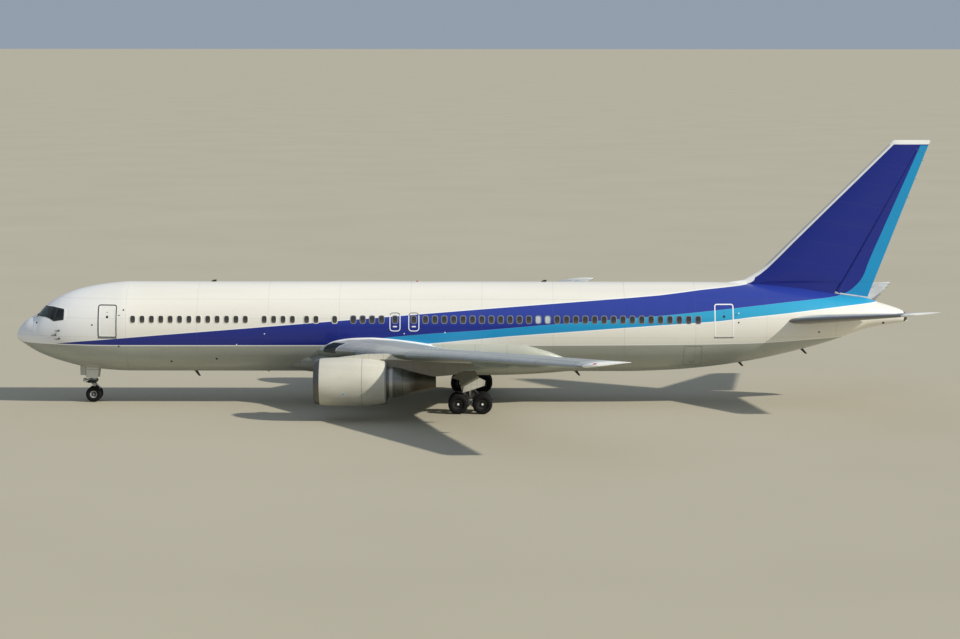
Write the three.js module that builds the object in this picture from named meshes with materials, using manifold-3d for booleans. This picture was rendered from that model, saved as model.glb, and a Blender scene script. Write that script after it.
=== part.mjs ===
// Wide body airliner on its landing gear, a 1:2 scale model.
// Lengths are full-size millimetres: x is the station aft of the nose tip, y is positive on
// the starboard side, z is the height above the ground. The outer group scales everything
// to 1:2 and puts the origin under the middle of the aircraft.
import * as THREE from 'three';
import { mergeVertices } from 'three/addons/utils/BufferGeometryUtils.js';
import Module from 'manifold-3d';

const wasm = await Module();
wasm.setup();

const MODEL_SCALE = 0.5;
const LENGTH = 54940;
const SEAM = 1;
const GAP = 26;
const WELD = 0.06;
const PLATE_OVERLAP = 9;

// Fuselage outline: station, crown, keel, half width, height of the widest point
const BODY = [
  [0, 4190, 3880, 170, 4020],
  [110, 4390, 3750, 420, 4040],
  [300, 4660, 3630, 640, 4060],
  [550, 4920, 3470, 840, 4090],
  [850, 5120, 3270, 1060, 4120],
  [1140, 5230, 3100, 1240, 4150],
  [1310, 5340, 3010, 1330, 4170],
  [1700, 5750, 2840, 1530, 4210],
  [2180, 6130, 2650, 1730, 4260],
  [2830, 6500, 2450, 1960, 4320],
  [3600, 6800, 2240, 2160, 4390],
  [4600, 7040, 2060, 2330, 4460],
  [5800, 7220, 1940, 2450, 4540],
  [6900, 7300, 1890, 2515, 4595],
  [36600, 7300, 1890, 2515, 4595],
  [39400, 7300, 1980, 2505, 4620],
  [41500, 7290, 2160, 2470, 4700],
  [43600, 7260, 2440, 2390, 4800],
  [45000, 7180, 2690, 2280, 4900],
  [47050, 6970, 3170, 2040, 5030],
  [49100, 6650, 3740, 1690, 5170],
  [50300, 6480, 4180, 1420, 5250],
  [51300, 6340, 4520, 1150, 5330],
  [51900, 6120, 4640, 970, 5330],
  [52700, 5880, 4770, 690, 5300],
  [53500, 5560, 4900, 380, 5230],
  [53670, 5420, 4960, 270, 5190],
];
const BODY_SIDES = 32;
const RADOME_JOINT = 1140;
const NOSE_JOINT = 6900;
const AFT_JOINT = 36600;
const TAIL_CONE_JOINT = 51900;
const GLASS_DEPTH = 60;
const GLASS_BAND = [
  [1000, 5300], [1900, 5300], [2470, 5060], [3060, 5140],
  [3060, 5720], [2320, 5860], [1900, 5860], [1000, 5800],
];

// Wing: span position, leading edge, trailing edge, quarter-chord height, thickness, incidence
const WING_LE = (y) => 19260 + 0.676 * (y - 2600);
const WING_TE = (y) => 29200 + 0.4225 * Math.max(0, y - 8000);
const WING = [
  [1700, 17700, 29200, 3120, 0.135, 4.25],
  [2400, 18550, 29200, 3200, 0.15, 4.25],
  [3500, WING_LE(3500), 29200, 3300, 0.148, 4.1],
  [8000, WING_LE(8000), 29200, 3767, 0.122, 3.0],
  [12000, WING_LE(12000), WING_TE(12000), 4190, 0.119, 1.9],
  [15500, WING_LE(15500), WING_TE(15500), 4500, 0.115, -0.3],
  [23300, WING_LE(23300), WING_TE(23300), 5160, 0.106, -5.5],
  [23680, WING_LE(23680) + 180, WING_TE(23680), 5215, 0.085, -5.5],
  [23785, WING_LE(23785) + 480, WING_TE(23785) - 60, 5245, 0.05, -5],
];
const TIP_SPAN = 23785;

// Stabiliser and fin: span position, leading edge point, trailing edge point, thickness
const STABILISER = [
  [900, [45430, 5020], [51340, 5380], 0.094],
  [1900, [46210, 5120], [51680, 5470], 0.094],
  [9000, [51850, 6200], [54060, 6410], 0.085],
  [9230, [52230, 6250], [54140, 6430], 0.07],
  [9310, [52590, 6290], [54150, 6440], 0.05],
];
const FIN = [
  [5900, 41900, 51150, 0.07],
  [7220, 42500, 51655, 0.06],
  [7330, 43250, 51700, 0.075],
  [7440, 43900, 51740, 0.09],
  [7970, 44800, 51943, 0.1],
  [8370, 45240, 52095, 0.105],
  [9700, 46560, 52604, 0.105],
  [15500, 52400, 54822, 0.1],
  [15740, 52640, 54940, 0.08],
  [15840, 52770, 54930, 0.05],
];

const ENGINE_Y = 7920;
const ENGINE_Z = 2250;
const FAN_STATION = 19800;
const FAN_RADIUS = 1165;
const FAN_BLADES = 14;
const HUB_RADIUS = 380;

const MAIN_GEAR_X = 27440;
const MAIN_GEAR_Y = 4650;
const MAIN_AXLE_SPACING = 1420;
const MAIN_TWIN_SPACING = 1140;
const MAIN_TYRE = { radius: 585, width: 460, rim: 270 };
const NOSE_GEAR_X = 4620;
const NOSE_TWIN_SPACING = 610;
const NOSE_TYRE = { radius: 470, width: 356, rim: 205 };
const WHEEL_SIDES = 16;

// Paint and metal finishes
const FINISHES = {
  white: { color: 0xe9e8e2, metalness: 0, roughness: 0.35 },
  grey: { color: 0xb9bcbe, metalness: 0, roughness: 0.45 },
  blue: { color: 0x1d2a5e, metalness: 0, roughness: 0.35 },
  light_blue: { color: 0x3f78b8, metalness: 0, roughness: 0.35 },
  glass: { color: 0x14181c, metalness: 0, roughness: 0.08 },
  bare: { color: 0xc4c6c8, metalness: 1, roughness: 0.3 },
  hot_metal: { color: 0x8f8a83, metalness: 1, roughness: 0.45 },
  gear: { color: 0xd9dbdc, metalness: 0, roughness: 0.4 },
  hub: { color: 0xd2d4d6, metalness: 0.6, roughness: 0.35 },
  tyre: { color: 0x1b1b1c, metalness: 0, roughness: 0.85 },
  fan: { color: 0x4a4c50, metalness: 0.9, roughness: 0.35 },
};

// Solids and how they are joined

// a closed solid from any closed geometry, its faces turned outward
function solidOf(geometry) {
  const bare = geometry.index ? geometry.clone() : mergeVertices(positionOnly(geometry.clone()), 1e-3);
  const merged = mergeVertices(positionOnly(bare), 1e-3);
  const points = merged.attributes.position.array;
  const corners = Array.from(merged.index.array);
  let volume = 0;
  const kept = [];
  for (let i = 0; i < corners.length; i += 3) {
    const [a, b, c] = [corners[i] * 3, corners[i + 1] * 3, corners[i + 2] * 3];
    if (a === b || b === c || c === a) continue;
    kept.push(corners[i], corners[i + 1], corners[i + 2]);
    volume += points[a] * (points[b + 1] * points[c + 2] - points[b + 2] * points[c + 1])
      + points[a + 1] * (points[b + 2] * points[c] - points[b] * points[c + 2])
      + points[a + 2] * (points[b] * points[c + 1] - points[b + 1] * points[c]);
  }
  if (volume < 0) {
    for (let i = 0; i < kept.length; i += 3) [kept[i], kept[i + 1]] = [kept[i + 1], kept[i]];
  }
  const vertProperties = new Float32Array(points);
  const triVerts = new Uint32Array(kept);
  return new wasm.Manifold(new wasm.Mesh({ numProp: 3, vertProperties, triVerts }));
}

function positionOnly(geometry) {
  geometry.deleteAttribute('normal');
  geometry.deleteAttribute('uv');
  return geometry;
}

function geometryOf(solid) {
  const { vertProperties, triVerts } = solid.getMesh();
  const geometry = new THREE.BufferGeometry();
  geometry.setAttribute('position', new THREE.BufferAttribute(vertProperties, 3));
  geometry.setIndex(welded(vertProperties, triVerts));
  geometry.computeVertexNormals();
  return geometry;
}

// the triangles that are left when the two ends of each edge shorter than WELD become one corner
function welded(points, corners) {
  const same = Array.from({ length: points.length / 3 }, (_, i) => i);
  const first = (i) => {
    while (same[i] !== i) i = same[i];
    return i;
  };
  const apart = (i, j) => Math.hypot(...[0, 1, 2].map((k) => points[3 * i + k] - points[3 * j + k]));
  corners.forEach((a, i) => {
    const b = corners[i % 3 === 2 ? i - 2 : i + 1];
    if (apart(a, b) < WELD) same[Math.max(first(a), first(b))] = Math.min(first(a), first(b));
  });
  const kept = [];
  for (let i = 0; i < corners.length; i += 3) {
    const [a, b, c] = [first(corners[i]), first(corners[i + 1]), first(corners[i + 2])];
    if (a !== b && b !== c && c !== a) kept.push(a, b, c);
  }
  return kept;
}

// the same shape on the other side of the aircraft
function mirrored(geometry) {
  const copy = geometry.clone();
  copy.scale(1, -1, 1);
  const corners = copy.index.array;
  for (let i = 0; i < corners.length; i += 3) {
    [corners[i], corners[i + 1]] = [corners[i + 1], corners[i]];
  }
  copy.computeVertexNormals();
  return copy;
}

const join = (...solids) => solids.reduce((all, one) => all.add(one));
const cut = (solid, ...tools) => tools.reduce((rest, tool) => rest.subtract(tool), solid);

// Shapes

// skin through loops of equal count, closed at both ends by strips
function loft(loops) {
  const n = loops[0].length;
  const index = [];
  for (let s = 0; s < loops.length - 1; s++) {
    for (let i = 0; i < n; i++) {
      const a = s * n + i;
      const b = s * n + ((i + 1) % n);
      index.push(a, b, b + n, a, b + n, a + n);
    }
  }
  const last = (loops.length - 1) * n;
  const cap = (a, b, c) => {
    index.push(c, b, a);
    index.push(last + a, last + b, last + c);
  };
  cap(0, 1, n - 1);
  for (let i = 1; i + 1 < n - i; i++) {
    cap(i, i + 1, n - i);
    if (i + 1 < n - i - 1) cap(i + 1, n - i - 1, n - i);
  }
  const geometry = new THREE.BufferGeometry();
  geometry.setAttribute('position', new THREE.Float32BufferAttribute(loops.flat(2), 3));
  geometry.setIndex(index);
  return geometry;
}

function box(x, y, z, dx, dy, dz) {
  return solidOf(new THREE.BoxGeometry(dx, dy, dz).translate(x, y, z));
}

// round bar from one point to another
function rod(from, to, radius, sides = 16, endRadius = radius) {
  const start = new THREE.Vector3(...from);
  const way = new THREE.Vector3(...to).sub(start);
  const geometry = new THREE.CylinderGeometry(endRadius, radius, way.length(), sides);
  geometry.translate(0, way.length() / 2, 0);
  const turn = new THREE.Quaternion().setFromUnitVectors(new THREE.Vector3(0, 1, 0), way.normalize());
  return solidOf(geometry.applyQuaternion(turn).translate(...from));
}

// solid of revolution about a line along x or y, profile as [position along it, radius]
function turned(profile, sides, axis, centre) {
  const points = profile.map(([along, radius]) => new THREE.Vector2(radius, along));
  const geometry = new THREE.LatheGeometry(points, sides);
  if (axis === 'x') geometry.rotateZ(-Math.PI / 2);
  return solidOf(geometry.translate(...centre));
}

const closed = (profile) => [...profile, profile[0]];

// side-view outline of [x, z] points, extruded across the aircraft from y to y + width
function sidePlate(outline, y, width) {
  const shape = new THREE.Shape(outline.map(([x, z]) => new THREE.Vector2(x, z)));
  const geometry = new THREE.ExtrudeGeometry(shape, { depth: width, bevelEnabled: false });
  return solidOf(geometry.rotateX(Math.PI / 2).translate(0, y + width, 0));
}

// outline moved outward by a distance, for outlines drawn clockwise or anticlockwise
function grown(outline, distance) {
  const area = outline.reduce((sum, [x, z], i) => {
    const [nx, nz] = outline[(i + 1) % outline.length];
    return sum + x * nz - nx * z;
  }, 0);
  const side = Math.sign(area);
  const n = outline.length;
  return outline.map(([x, z], i) => {
    const [px, pz] = outline[(i + n - 1) % n];
    const [nx, nz] = outline[(i + 1) % n];
    const before = new THREE.Vector2(x - px, z - pz).normalize();
    const after = new THREE.Vector2(nx - x, nz - z).normalize();
    const out = new THREE.Vector2(before.y + after.y, -before.x - after.x).normalize();
    const reach = distance / Math.max(0.3, out.x * before.y - out.y * before.x);
    return [x + side * out.x * reach, z + side * out.y * reach];
  });
}

// Fuselage

function bodyLoop([station, crown, keel, halfWidth, middle], growth) {
  return Array.from({ length: BODY_SIDES }, (_, i) => {
    const angle = (2 * Math.PI * i) / BODY_SIDES;
    const reach = (Math.cos(angle) > 0 ? crown - middle : middle - keel) + growth;
    return [station, (halfWidth + growth) * Math.sin(angle), middle + reach * Math.cos(angle)];
  });
}

function bodyRowAt(station) {
  const next = Math.max(1, BODY.findIndex((row) => row[0] >= station));
  const [a, b] = [BODY[next - 1], BODY[next]];
  const share = (station - a[0]) / (b[0] - a[0]);
  return a.map((value, i) => value + share * (b[i] - value));
}

function bodySolid(from, to, growth = 0) {
  const between = BODY.filter(([station]) => station > from + 5 && station < to - 5);
  const rows = [bodyRowAt(from), ...between, bodyRowAt(to)];
  return solidOf(loft(rows.map((row) => bodyLoop(row, growth))));
}

// Lifting surfaces

const CHORD_STEPS = [0.006, 0.025, 0.07, 0.14, 0.25, 0.4, 0.55, 0.7, 0.85, 1];

// half thickness over chord of a wing section at a share of the chord
function halfThickness(share, thickness) {
  const s = share;
  const polynomial = 0.2969 * Math.sqrt(s) - 0.126 * s - 0.3516 * s ** 2 + 0.2843 * s ** 3 - 0.1015 * s ** 4;
  return 5 * thickness * polynomial;
}

// loop of points around a section: nose, far side to the tail, near side back
function sectionLoop(row, growth = 0) {
  const side = (share, way) => sectionPoint(row, share, way, growth);
  const far = CHORD_STEPS.map((share) => side(share, 1));
  const near = CHORD_STEPS.map((share) => side(share, -1)).reverse();
  return [side(0, 0), ...far, ...near];
}

// point of a section: share of the chord, +1 upper skin, -1 lower skin, 0 middle
function sectionPoint({ nose, tail, thickness, camber, lift }, share, way, growth = 0) {
  const chord = new THREE.Vector3().subVectors(tail, nose);
  const length = chord.length();
  const along = chord.clone().normalize();
  const bow = camber * 4 * share * (1 - share) * length;
  const half = halfThickness(share, thickness) * length + growth;
  const stretch = share === 0 ? -growth : share === 1 ? growth : 0;
  const point = nose.clone().addScaledVector(along, share * length + stretch);
  return point.addScaledVector(lift, bow + way * half).toArray();
}

const UP = new THREE.Vector3(0, 0, 1);
const wingRow = ([y, le, te, z, thickness, incidence]) => {
  const chord = te - le;
  const drop = Math.tan(THREE.MathUtils.degToRad(incidence));
  const nose = new THREE.Vector3(le, y, z + 0.25 * chord * drop);
  const tail = new THREE.Vector3(te, y, z - 0.75 * chord * drop);
  return { span: y, nose, tail, thickness, camber: 0.015, lift: UP };
};
const stabiliserRow = ([y, [noseX, noseZ], [tailX, tailZ], thickness]) => {
  const nose = new THREE.Vector3(noseX, y, noseZ);
  const tail = new THREE.Vector3(tailX, y, tailZ);
  return { span: y, nose, tail, thickness, camber: 0, lift: UP };
};
const finRow = ([z, noseX, tailX, thickness]) => {
  const nose = new THREE.Vector3(noseX, 0, z);
  const tail = new THREE.Vector3(tailX, 0, z);
  return { span: z, nose, tail, thickness, camber: 0, lift: new THREE.Vector3(0, 1, 0) };
};

// row of a surface at a span position between its table rows
function rowAt(rows, span) {
  const next = Math.max(1, rows.findIndex((row) => row.span >= span));
  const [a, b] = [rows[next - 1], rows[next]];
  const share = (span - a.span) / (b.span - a.span);
  return {
    span,
    nose: a.nose.clone().lerp(b.nose, share),
    tail: a.tail.clone().lerp(b.tail, share),
    thickness: THREE.MathUtils.lerp(a.thickness, b.thickness, share),
    camber: a.camber,
    lift: a.lift,
  };
}

const foilSolid = (rows, growth = 0) => solidOf(loft(rows.map((row) => sectionLoop(row, growth))));

// Hinged surfaces

// hinge frame: u runs along the hinge, v away from it across the chord, w is square to both
function hingeFrame(start, end, away) {
  const u = new THREE.Vector3().subVectors(end, start).normalize();
  const w = new THREE.Vector3().subVectors(away, start).cross(u).normalize();
  const v = new THREE.Vector3().crossVectors(u, w).normalize();
  const length = start.distanceTo(end);
  return { u, v, w, start, end, length, matrix: new THREE.Matrix4().makeBasis(u, v, w).setPosition(start) };
}

// outline of [u, v] points in a hinge frame, extruded from w = low to w = high
function framePlate(frame, outline, low, high) {
  const shape = new THREE.Shape(outline.map(([u, v]) => new THREE.Vector2(u, v)));
  const geometry = new THREE.ExtrudeGeometry(shape, { depth: high - low, bevelEnabled: false });
  return solidOf(geometry.translate(0, 0, low).applyMatrix4(frame.matrix));
}

// round tapered core about the hinge line from u = from to u = to
function frameCone(frame, from, to, startRadius, endRadius, sides) {
  const slope = (endRadius - startRadius) / frame.length;
  const at = (u) => startRadius + slope * u;
  const geometry = new THREE.CylinderGeometry(at(to), at(from), to - from, sides);
  geometry.rotateZ(-Math.PI / 2).translate((from + to) / 2, 0, 0);
  return solidOf(geometry.applyMatrix4(frame.matrix));
}

const REACH = 4000;

// surface with a round nose on its hinge line: returns what moves and what is cut away for it
function roundNosed(whole, frame, startRadius, endRadius, { startEdge = 0, floor = -GAP } = {}) {
  const { length } = frame;
  const panel = [[0, 0], [length, 0], [length, REACH], [startEdge * REACH, REACH]];
  const nose = frameCone(frame, 0, length, startRadius, endRadius, 14);
  const moving = join(framePlate(frame, panel, -1200, 1200).intersect(whole), nose);
  const lip = 0.7;
  const bay = [
    [floor, -lip * startRadius], [length + GAP, -lip * endRadius],
    [length + GAP, REACH], [floor + Math.min(0, startEdge) * REACH, REACH],
  ];
  const room = frameCone(frame, -GAP, length + GAP, startRadius + GAP, endRadius + GAP, 14);
  return { moving, bay: join(framePlate(frame, bay, -1200, 1200), room), frame };
}

// surface that slides round a hinge line below it: the seam is an arc about that line, and
// the surface starts at a share of the arc's radius, one share for each side of the hinge plane
function arcNosed(whole, frame, startRadius, endRadius, shares) {
  const { length } = frame;
  const halves = (end, gap) => join(...shares.map((share, side) => {
    const [near, far] = [share * startRadius - gap, share * endRadius - gap];
    const outline = [[-gap, near], [length + gap, far], [length + gap, REACH], [-gap, REACH]];
    return framePlate(frame, outline, side ? -PLATE_OVERLAP : -end, side ? end : 0);
  }));
  const arc = frameCone(frame, -1, length + 1, startRadius, endRadius, 40);
  const inner = frameCone(frame, -GAP - 1, length + GAP + 1, startRadius - GAP, endRadius - GAP, 40);
  const moving = cut(halves(3000, 0).intersect(whole), arc);
  return { moving, bay: cut(halves(3000, GAP), inner), frame };
}

// hinge line of an arc seam through an upper and a lower skin point at each end
function arcFrame(rows, spans, upperShare, lowerShare, depth, way) {
  const ends = spans.map((span, i) => {
    const row = rowAt(rows, span);
    const upper = new THREE.Vector3(...sectionPoint(row, upperShare[i], 1));
    const lower = new THREE.Vector3(...sectionPoint(row, lowerShare[i], -1));
    const middle = upper.clone().lerp(lower, 0.5);
    const seam = upper.clone().sub(lower);
    const inward = new THREE.Vector3(way * seam.z, 0, -way * seam.x).normalize();
    const pivot = middle.clone().addScaledVector(inward, depth[i]);
    return { pivot, upper, middle };
  });
  const frame = hingeFrame(ends[0].pivot, ends[1].pivot, ends[0].middle);
  const radii = ends.map(({ pivot, upper }) => upper.clone().sub(pivot).cross(frame.u).length());
  return { frame, radii };
}

// Wings with slats, flaps, ailerons and spoilers, made once for the starboard side

const wingRows = WING.map(wingRow);
const body = bodySolid(0, LENGTH - 1270);
const bodyRoom = bodySolid(0, LENGTH - 1270, SEAM);

// slender fairing over a flap track, below the wing
function trackFairing(y, x, length, halfWidth, depth) {
  const shares = [0, 0.08, 0.25, 0.5, 0.8, 1];
  const fullness = [0.06, 0.55, 0.9, 1, 0.7, 0.08];
  const loops = shares.map((share, i) => Array.from({ length: 8 }, (_, k) => {
    const angle = (2 * Math.PI * k) / 8;
    const station = x + share * length;
    const row = rowAt(wingRows, y);
    const chordShare = Math.min(1, (station - row.nose.x) / (row.tail.x - row.nose.x));
    const skin = sectionPoint(row, chordShare, -1)[2];
    const z = skin - 0.3 * depth * fullness[i] + depth * 0.7 * fullness[i] * Math.cos(angle);
    return [station, y + halfWidth * fullness[i] * Math.sin(angle), z];
  }));
  return solidOf(loft(loops));
}

const TRACKS = [
  [6350, 25700, 3700, 190, 520],
  [11000, 27500, 3600, 180, 460],
  [15300, 29600, 3200, 160, 400],
];

// flat round pad under the skin for a jack
const jackPad = (x, y, z) => rod([x, y, z - 45], [x, y, z + 90], 110, 12);
const WING_JACK = { x: 25300, y: 6900 };
const jackRow = rowAt(wingRows, WING_JACK.y);
const jackShare = (WING_JACK.x - jackRow.nose.x) / (jackRow.tail.x - jackRow.nose.x);
const jackSkin = sectionPoint(jackRow, jackShare, -1)[2];
const wingBlank = join(
  foilSolid(wingRows),
  ...TRACKS.map((track) => trackFairing(...track)),
  jackPad(WING_JACK.x, WING_JACK.y, jackSkin),
);

const hinges = {};
const movers = {};
const bays = [];

function addSurface(name, surface) {
  movers[name] = surface.moving;
  bays.push(surface.bay);
  hinges[name] = surface.frame;
}

// slats: span from and to, and the shares of the chord where the seam meets each skin
const SLATS = { slat_inboard: [3900, 5850], slat_outboard: [8500, 22700] };
for (const [name, spans] of Object.entries(SLATS)) {
  const chords = spans.map((span) => {
    const row = rowAt(wingRows, span);
    return row.tail.x - row.nose.x;
  });
  const { frame, radii } = arcFrame(wingRows, spans, [0.13, 0.13], [0.05, 0.05], chords.map((c) => 0.3 * c), 1);
  addSurface(name, arcNosed(wingBlank, frame, ...radii, [0.75, 0.75]));
}

// flaps: span from and to, upper seam share, lower seam share at each end, and hinge depth
const FLAPS = {
  flap_inboard: [[2900, 7000], [27750, 28100], [1000, 1000]],
  flap_outboard: [[9150, 17300], null, [1000, 700]],
};
for (const [name, [spans, stations, depth]] of Object.entries(FLAPS)) {
  const shareOf = (span, station) => {
    const row = rowAt(wingRows, span);
    return (station - row.nose.x) / (row.tail.x - row.nose.x);
  };
  const upper = stations ? spans.map((span) => shareOf(span, stations[0])) : [0.74, 0.74];
  const lower = stations ? spans.map((span) => shareOf(span, stations[1])) : [0.8, 0.8];
  const { frame, radii } = arcFrame(wingRows, spans, upper, lower, depth, -1);
  addSurface(name, arcNosed(wingBlank, frame, ...radii, [0.6, 0.88]));
}

// ailerons: span from and to, hinge share of the chord at each end
const AILERONS = {
  aileron_inboard: [[7180, 8400], [0.81, 0.8]],
  aileron_outboard: [[17600, 22500], [0.74, 0.72]],
};
for (const [name, [spans, shares]] of Object.entries(AILERONS)) {
  const ends = spans.map((span, i) => {
    const row = rowAt(wingRows, span);
    const point = new THREE.Vector3(...sectionPoint(row, shares[i], 0));
    return { point, radius: 0.9 * halfThickness(shares[i], row.thickness) * (row.tail.x - row.nose.x), row };
  });
  const frame = hingeFrame(ends[0].point, ends[1].point, ends[0].row.tail);
  addSurface(name, roundNosed(wingBlank, frame, ends[0].radius, ends[1].radius));
}

// spoiler panel let into the upper skin ahead of the outboard flap
const SPOILER = { spans: [9800, 16700], front: 0.605, chord: [500, 330], depth: 36 };
{
  const [inner, outer] = SPOILER.spans.map((span) => {
    const point = new THREE.Vector3(...sectionPoint(rowAt(wingRows, span), SPOILER.front, 1));
    return point;
  });
  const away = new THREE.Vector3(...sectionPoint(rowAt(wingRows, SPOILER.spans[0]), 0.7, 1));
  const skin = hingeFrame(inner, outer, away);
  const sunk = skin.w.clone().multiplyScalar(-SPOILER.depth / 2);
  const frame = hingeFrame(inner.clone().add(sunk), outer.clone().add(sunk), away.clone().add(sunk));
  const [near, far] = SPOILER.chord;
  const panel = [[0, 0], [frame.length, 0], [frame.length, far], [0, near]];
  const bay = [[-GAP, -50], [frame.length + GAP, -50], [frame.length + GAP, far + GAP], [-GAP, near + GAP]];
  const moving = framePlate(frame, panel, -SPOILER.depth / 2, 400).intersect(wingBlank);
  const room = framePlate(frame, bay, -SPOILER.depth / 2 - GAP / 2, 400);
  addSurface('spoiler', { moving, bay: room, frame });
}

const wingSolid = cut(wingBlank, ...bays, bodyRoom);
const wingRoom = foilSolid(wingRows, SEAM);

// Tail surfaces

const stabiliserRows = STABILISER.map(stabiliserRow);
const finRows = FIN.map(finRow);
const PIVOT = { x: 49150, z: 5275, radius: 120, bore: 132 };
const STABILISER_TRIM = [12, 8.5, 5, 1.5, -2];
const ELEVATOR = { spans: [1640, 8950], shares: [0.7, 0.7] };
const RUDDER = { foot: [49511, 6690], head: [54170, 15250] };

const elevatorEnds = ELEVATOR.spans.map((span, i) => {
  const row = rowAt(stabiliserRows, span);
  const point = new THREE.Vector3(...sectionPoint(row, ELEVATOR.shares[i], 0));
  const radius = 0.9 * halfThickness(ELEVATOR.shares[i], row.thickness) * row.nose.distanceTo(row.tail);
  return { point, radius, row };
});
const elevatorFrame = hingeFrame(elevatorEnds[0].point, elevatorEnds[1].point, elevatorEnds[0].row.tail);
const stabiliserBlank = foilSolid(stabiliserRows);
const elevator = roundNosed(
  stabiliserBlank, elevatorFrame, elevatorEnds[0].radius, elevatorEnds[1].radius,
  { startEdge: 0.36, floor: -1500 },
);
const trimmedBody = STABILISER_TRIM.map((degrees) => {
  const geometry = geometryOf(bodySolid(44000, TAIL_CONE_JOINT + 700, 22));
  geometry.translate(-PIVOT.x, 0, -PIVOT.z).rotateY(THREE.MathUtils.degToRad(degrees)).translate(PIVOT.x, 0, PIVOT.z);
  return solidOf(geometry);
});
const halfStabiliser = cut(stabiliserBlank, elevator.bay, ...trimmedBody);
const otherHalf = solidOf(mirrored(geometryOf(halfStabiliser)));
const pivotTube = rod([PIVOT.x, -2050, PIVOT.z], [PIVOT.x, 2050, PIVOT.z], PIVOT.radius, 16);
const stabiliser = join(pivotTube, halfStabiliser, otherHalf);
hinges.elevator = elevatorFrame;
movers.elevator = elevator.moving;

const rudderFoot = new THREE.Vector3(RUDDER.foot[0], 0, RUDDER.foot[1]);
const rudderHead = new THREE.Vector3(RUDDER.head[0], 0, RUDDER.head[1]);
const rudderFrame = hingeFrame(rudderFoot, rudderHead, new THREE.Vector3(51500, 0, 6780));
const rudder = roundNosed(foilSolid(finRows), rudderFrame, 185, 58, { startEdge: 0.36, floor: -1200 });
hinges.rudder = rudderFrame;
const finSolid = cut(foilSolid(finRows), rudder.bay, bodyRoom);

// Fuselage pieces

const glassOutline = sidePlate(grown(GLASS_BAND, -SEAM), -3000, 6000);
const glassRoom = sidePlate(GLASS_BAND, -3000, 6000);
const noseInside = bodySolid(1141, 4600, -GLASS_DEPTH);
const noseDeepInside = bodySolid(1141, 4600, -GLASS_DEPTH - SEAM);
const noseWhole = bodySolid(RADOME_JOINT + SEAM, NOSE_JOINT);
const glazing = cut(noseWhole.intersect(glassOutline), noseInside);
const NOSE_JACK = [6300, 0, 1915];
const noseBay = (depth) => box(4480, 0, 1700 + depth / 2, 1140, 720, depth);
const noseBody = join(
  cut(noseWhole, cut(glassRoom, noseDeepInside), noseBay(900)),
  jackPad(...NOSE_JACK),
);
const stabiliserBore = rod([PIVOT.x, -3000, PIVOT.z], [PIVOT.x, 3000, PIVOT.z], PIVOT.bore, 16);
const aftBody = cut(bodySolid(AFT_JOINT + SEAM, TAIL_CONE_JOINT), stabiliserBore);

// belly fairing: station, half width, keel, shoulder height
const BELLY = [
  [16600, 1500, 2050, 2900],
  [18200, 2350, 1880, 3350],
  [20200, 2660, 1770, 3800],
  [22400, 2690, 1710, 4150],
  [28600, 2690, 1700, 4300],
  [30400, 2640, 1740, 4250],
  [31900, 2450, 1830, 3800],
  [34000, 1600, 2000, 2900],
];
function bellyLoop([station, halfWidth, keel, shoulder], growth) {
  const middle = 0.55 * shoulder + 0.45 * keel;
  return Array.from({ length: 28 }, (_, i) => {
    const angle = (2 * Math.PI * i) / 28;
    const soft = (value) => Math.sign(value) * Math.abs(value) ** 0.8;
    const reach = (Math.cos(angle) > 0 ? shoulder - middle : middle - keel) + growth;
    return [station, (halfWidth + growth) * soft(Math.sin(angle)), middle + reach * soft(Math.cos(angle))];
  });
}
const belly = (growth) => solidOf(loft(BELLY.map((row) => bellyLoop(row, growth))));
const wingRoomPort = solidOf(mirrored(geometryOf(wingRoom)));
const bellySolid = cut(belly(0), bodyRoom, wingRoom, wingRoomPort);
const bellyRoom = belly(SEAM);

// Engines, made once for the starboard side

const COWL = [
  [18510, 1205], [18550, 1262], [18690, 1312], [19000, 1352], [19700, 1395], [20600, 1412], [21400, 1398],
  [22200, 1302], [22690, 1205],
];
const DUCT = [[22690, 1180], [22000, 1198], [20700, 1212], [19500, 1195], [18950, 1140], [18600, 1135]];
const CORE = [
  [20350, 0], [20350, 620], [20800, 800], [21900, 890], [23000, 905], [24070, 660],
  [25490, 340], [25490, 0],
];
const engineCentre = [0, ENGINE_Y, ENGINE_Z];
const nacelle = turned(closed([...COWL, ...DUCT]), 28, 'x', engineCentre);
const core = turned(CORE, 20, 'x', engineCentre);
const coreRoom = turned(CORE.map(([x, r]) => [x, r && r + SEAM]), 20, 'x', engineCentre);
const nacelleRoom = turned(
  [[18500, 0], [18500, 1206], ...COWL.slice(1).map(([x, r]) => [x, r + SEAM]), [22691, 1206], [22691, 0]],
  28, 'x', engineCentre,
);

// one fan blade as three twisted sections
function fanBlade(turn) {
  const sections = [[HUB_RADIUS - 60, 25, 130, 34], [760, 45, 150, 22], [FAN_RADIUS, 62, 170, 12]];
  const loops = sections.map(([radius, twist, halfChord, halfWidth]) => {
    const angle = THREE.MathUtils.degToRad(twist);
    const corner = (c, w) => [c * Math.cos(angle) - w * Math.sin(angle), c * Math.sin(angle) + w * Math.cos(angle), radius];
    return [
      corner(-halfChord, 0), corner(0, halfWidth), corner(halfChord, 0), corner(0, -halfWidth),
    ];
  });
  const geometry = loft(loops).rotateX(turn);
  return solidOf(geometry.translate(FAN_STATION, ENGINE_Y, ENGINE_Z));
}
const SPINNER = [
  [FAN_STATION - 620, 0], [FAN_STATION - 590, 70], [FAN_STATION - 400, 220], [FAN_STATION - 180, 340],
  [FAN_STATION + 180, HUB_RADIUS], [FAN_STATION + 180, 0],
];
const fan = join(
  turned(SPINNER, 16, 'x', engineCentre),
  ...Array.from({ length: FAN_BLADES }, (_, i) => fanBlade((2 * Math.PI * i) / FAN_BLADES)),
);

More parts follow.
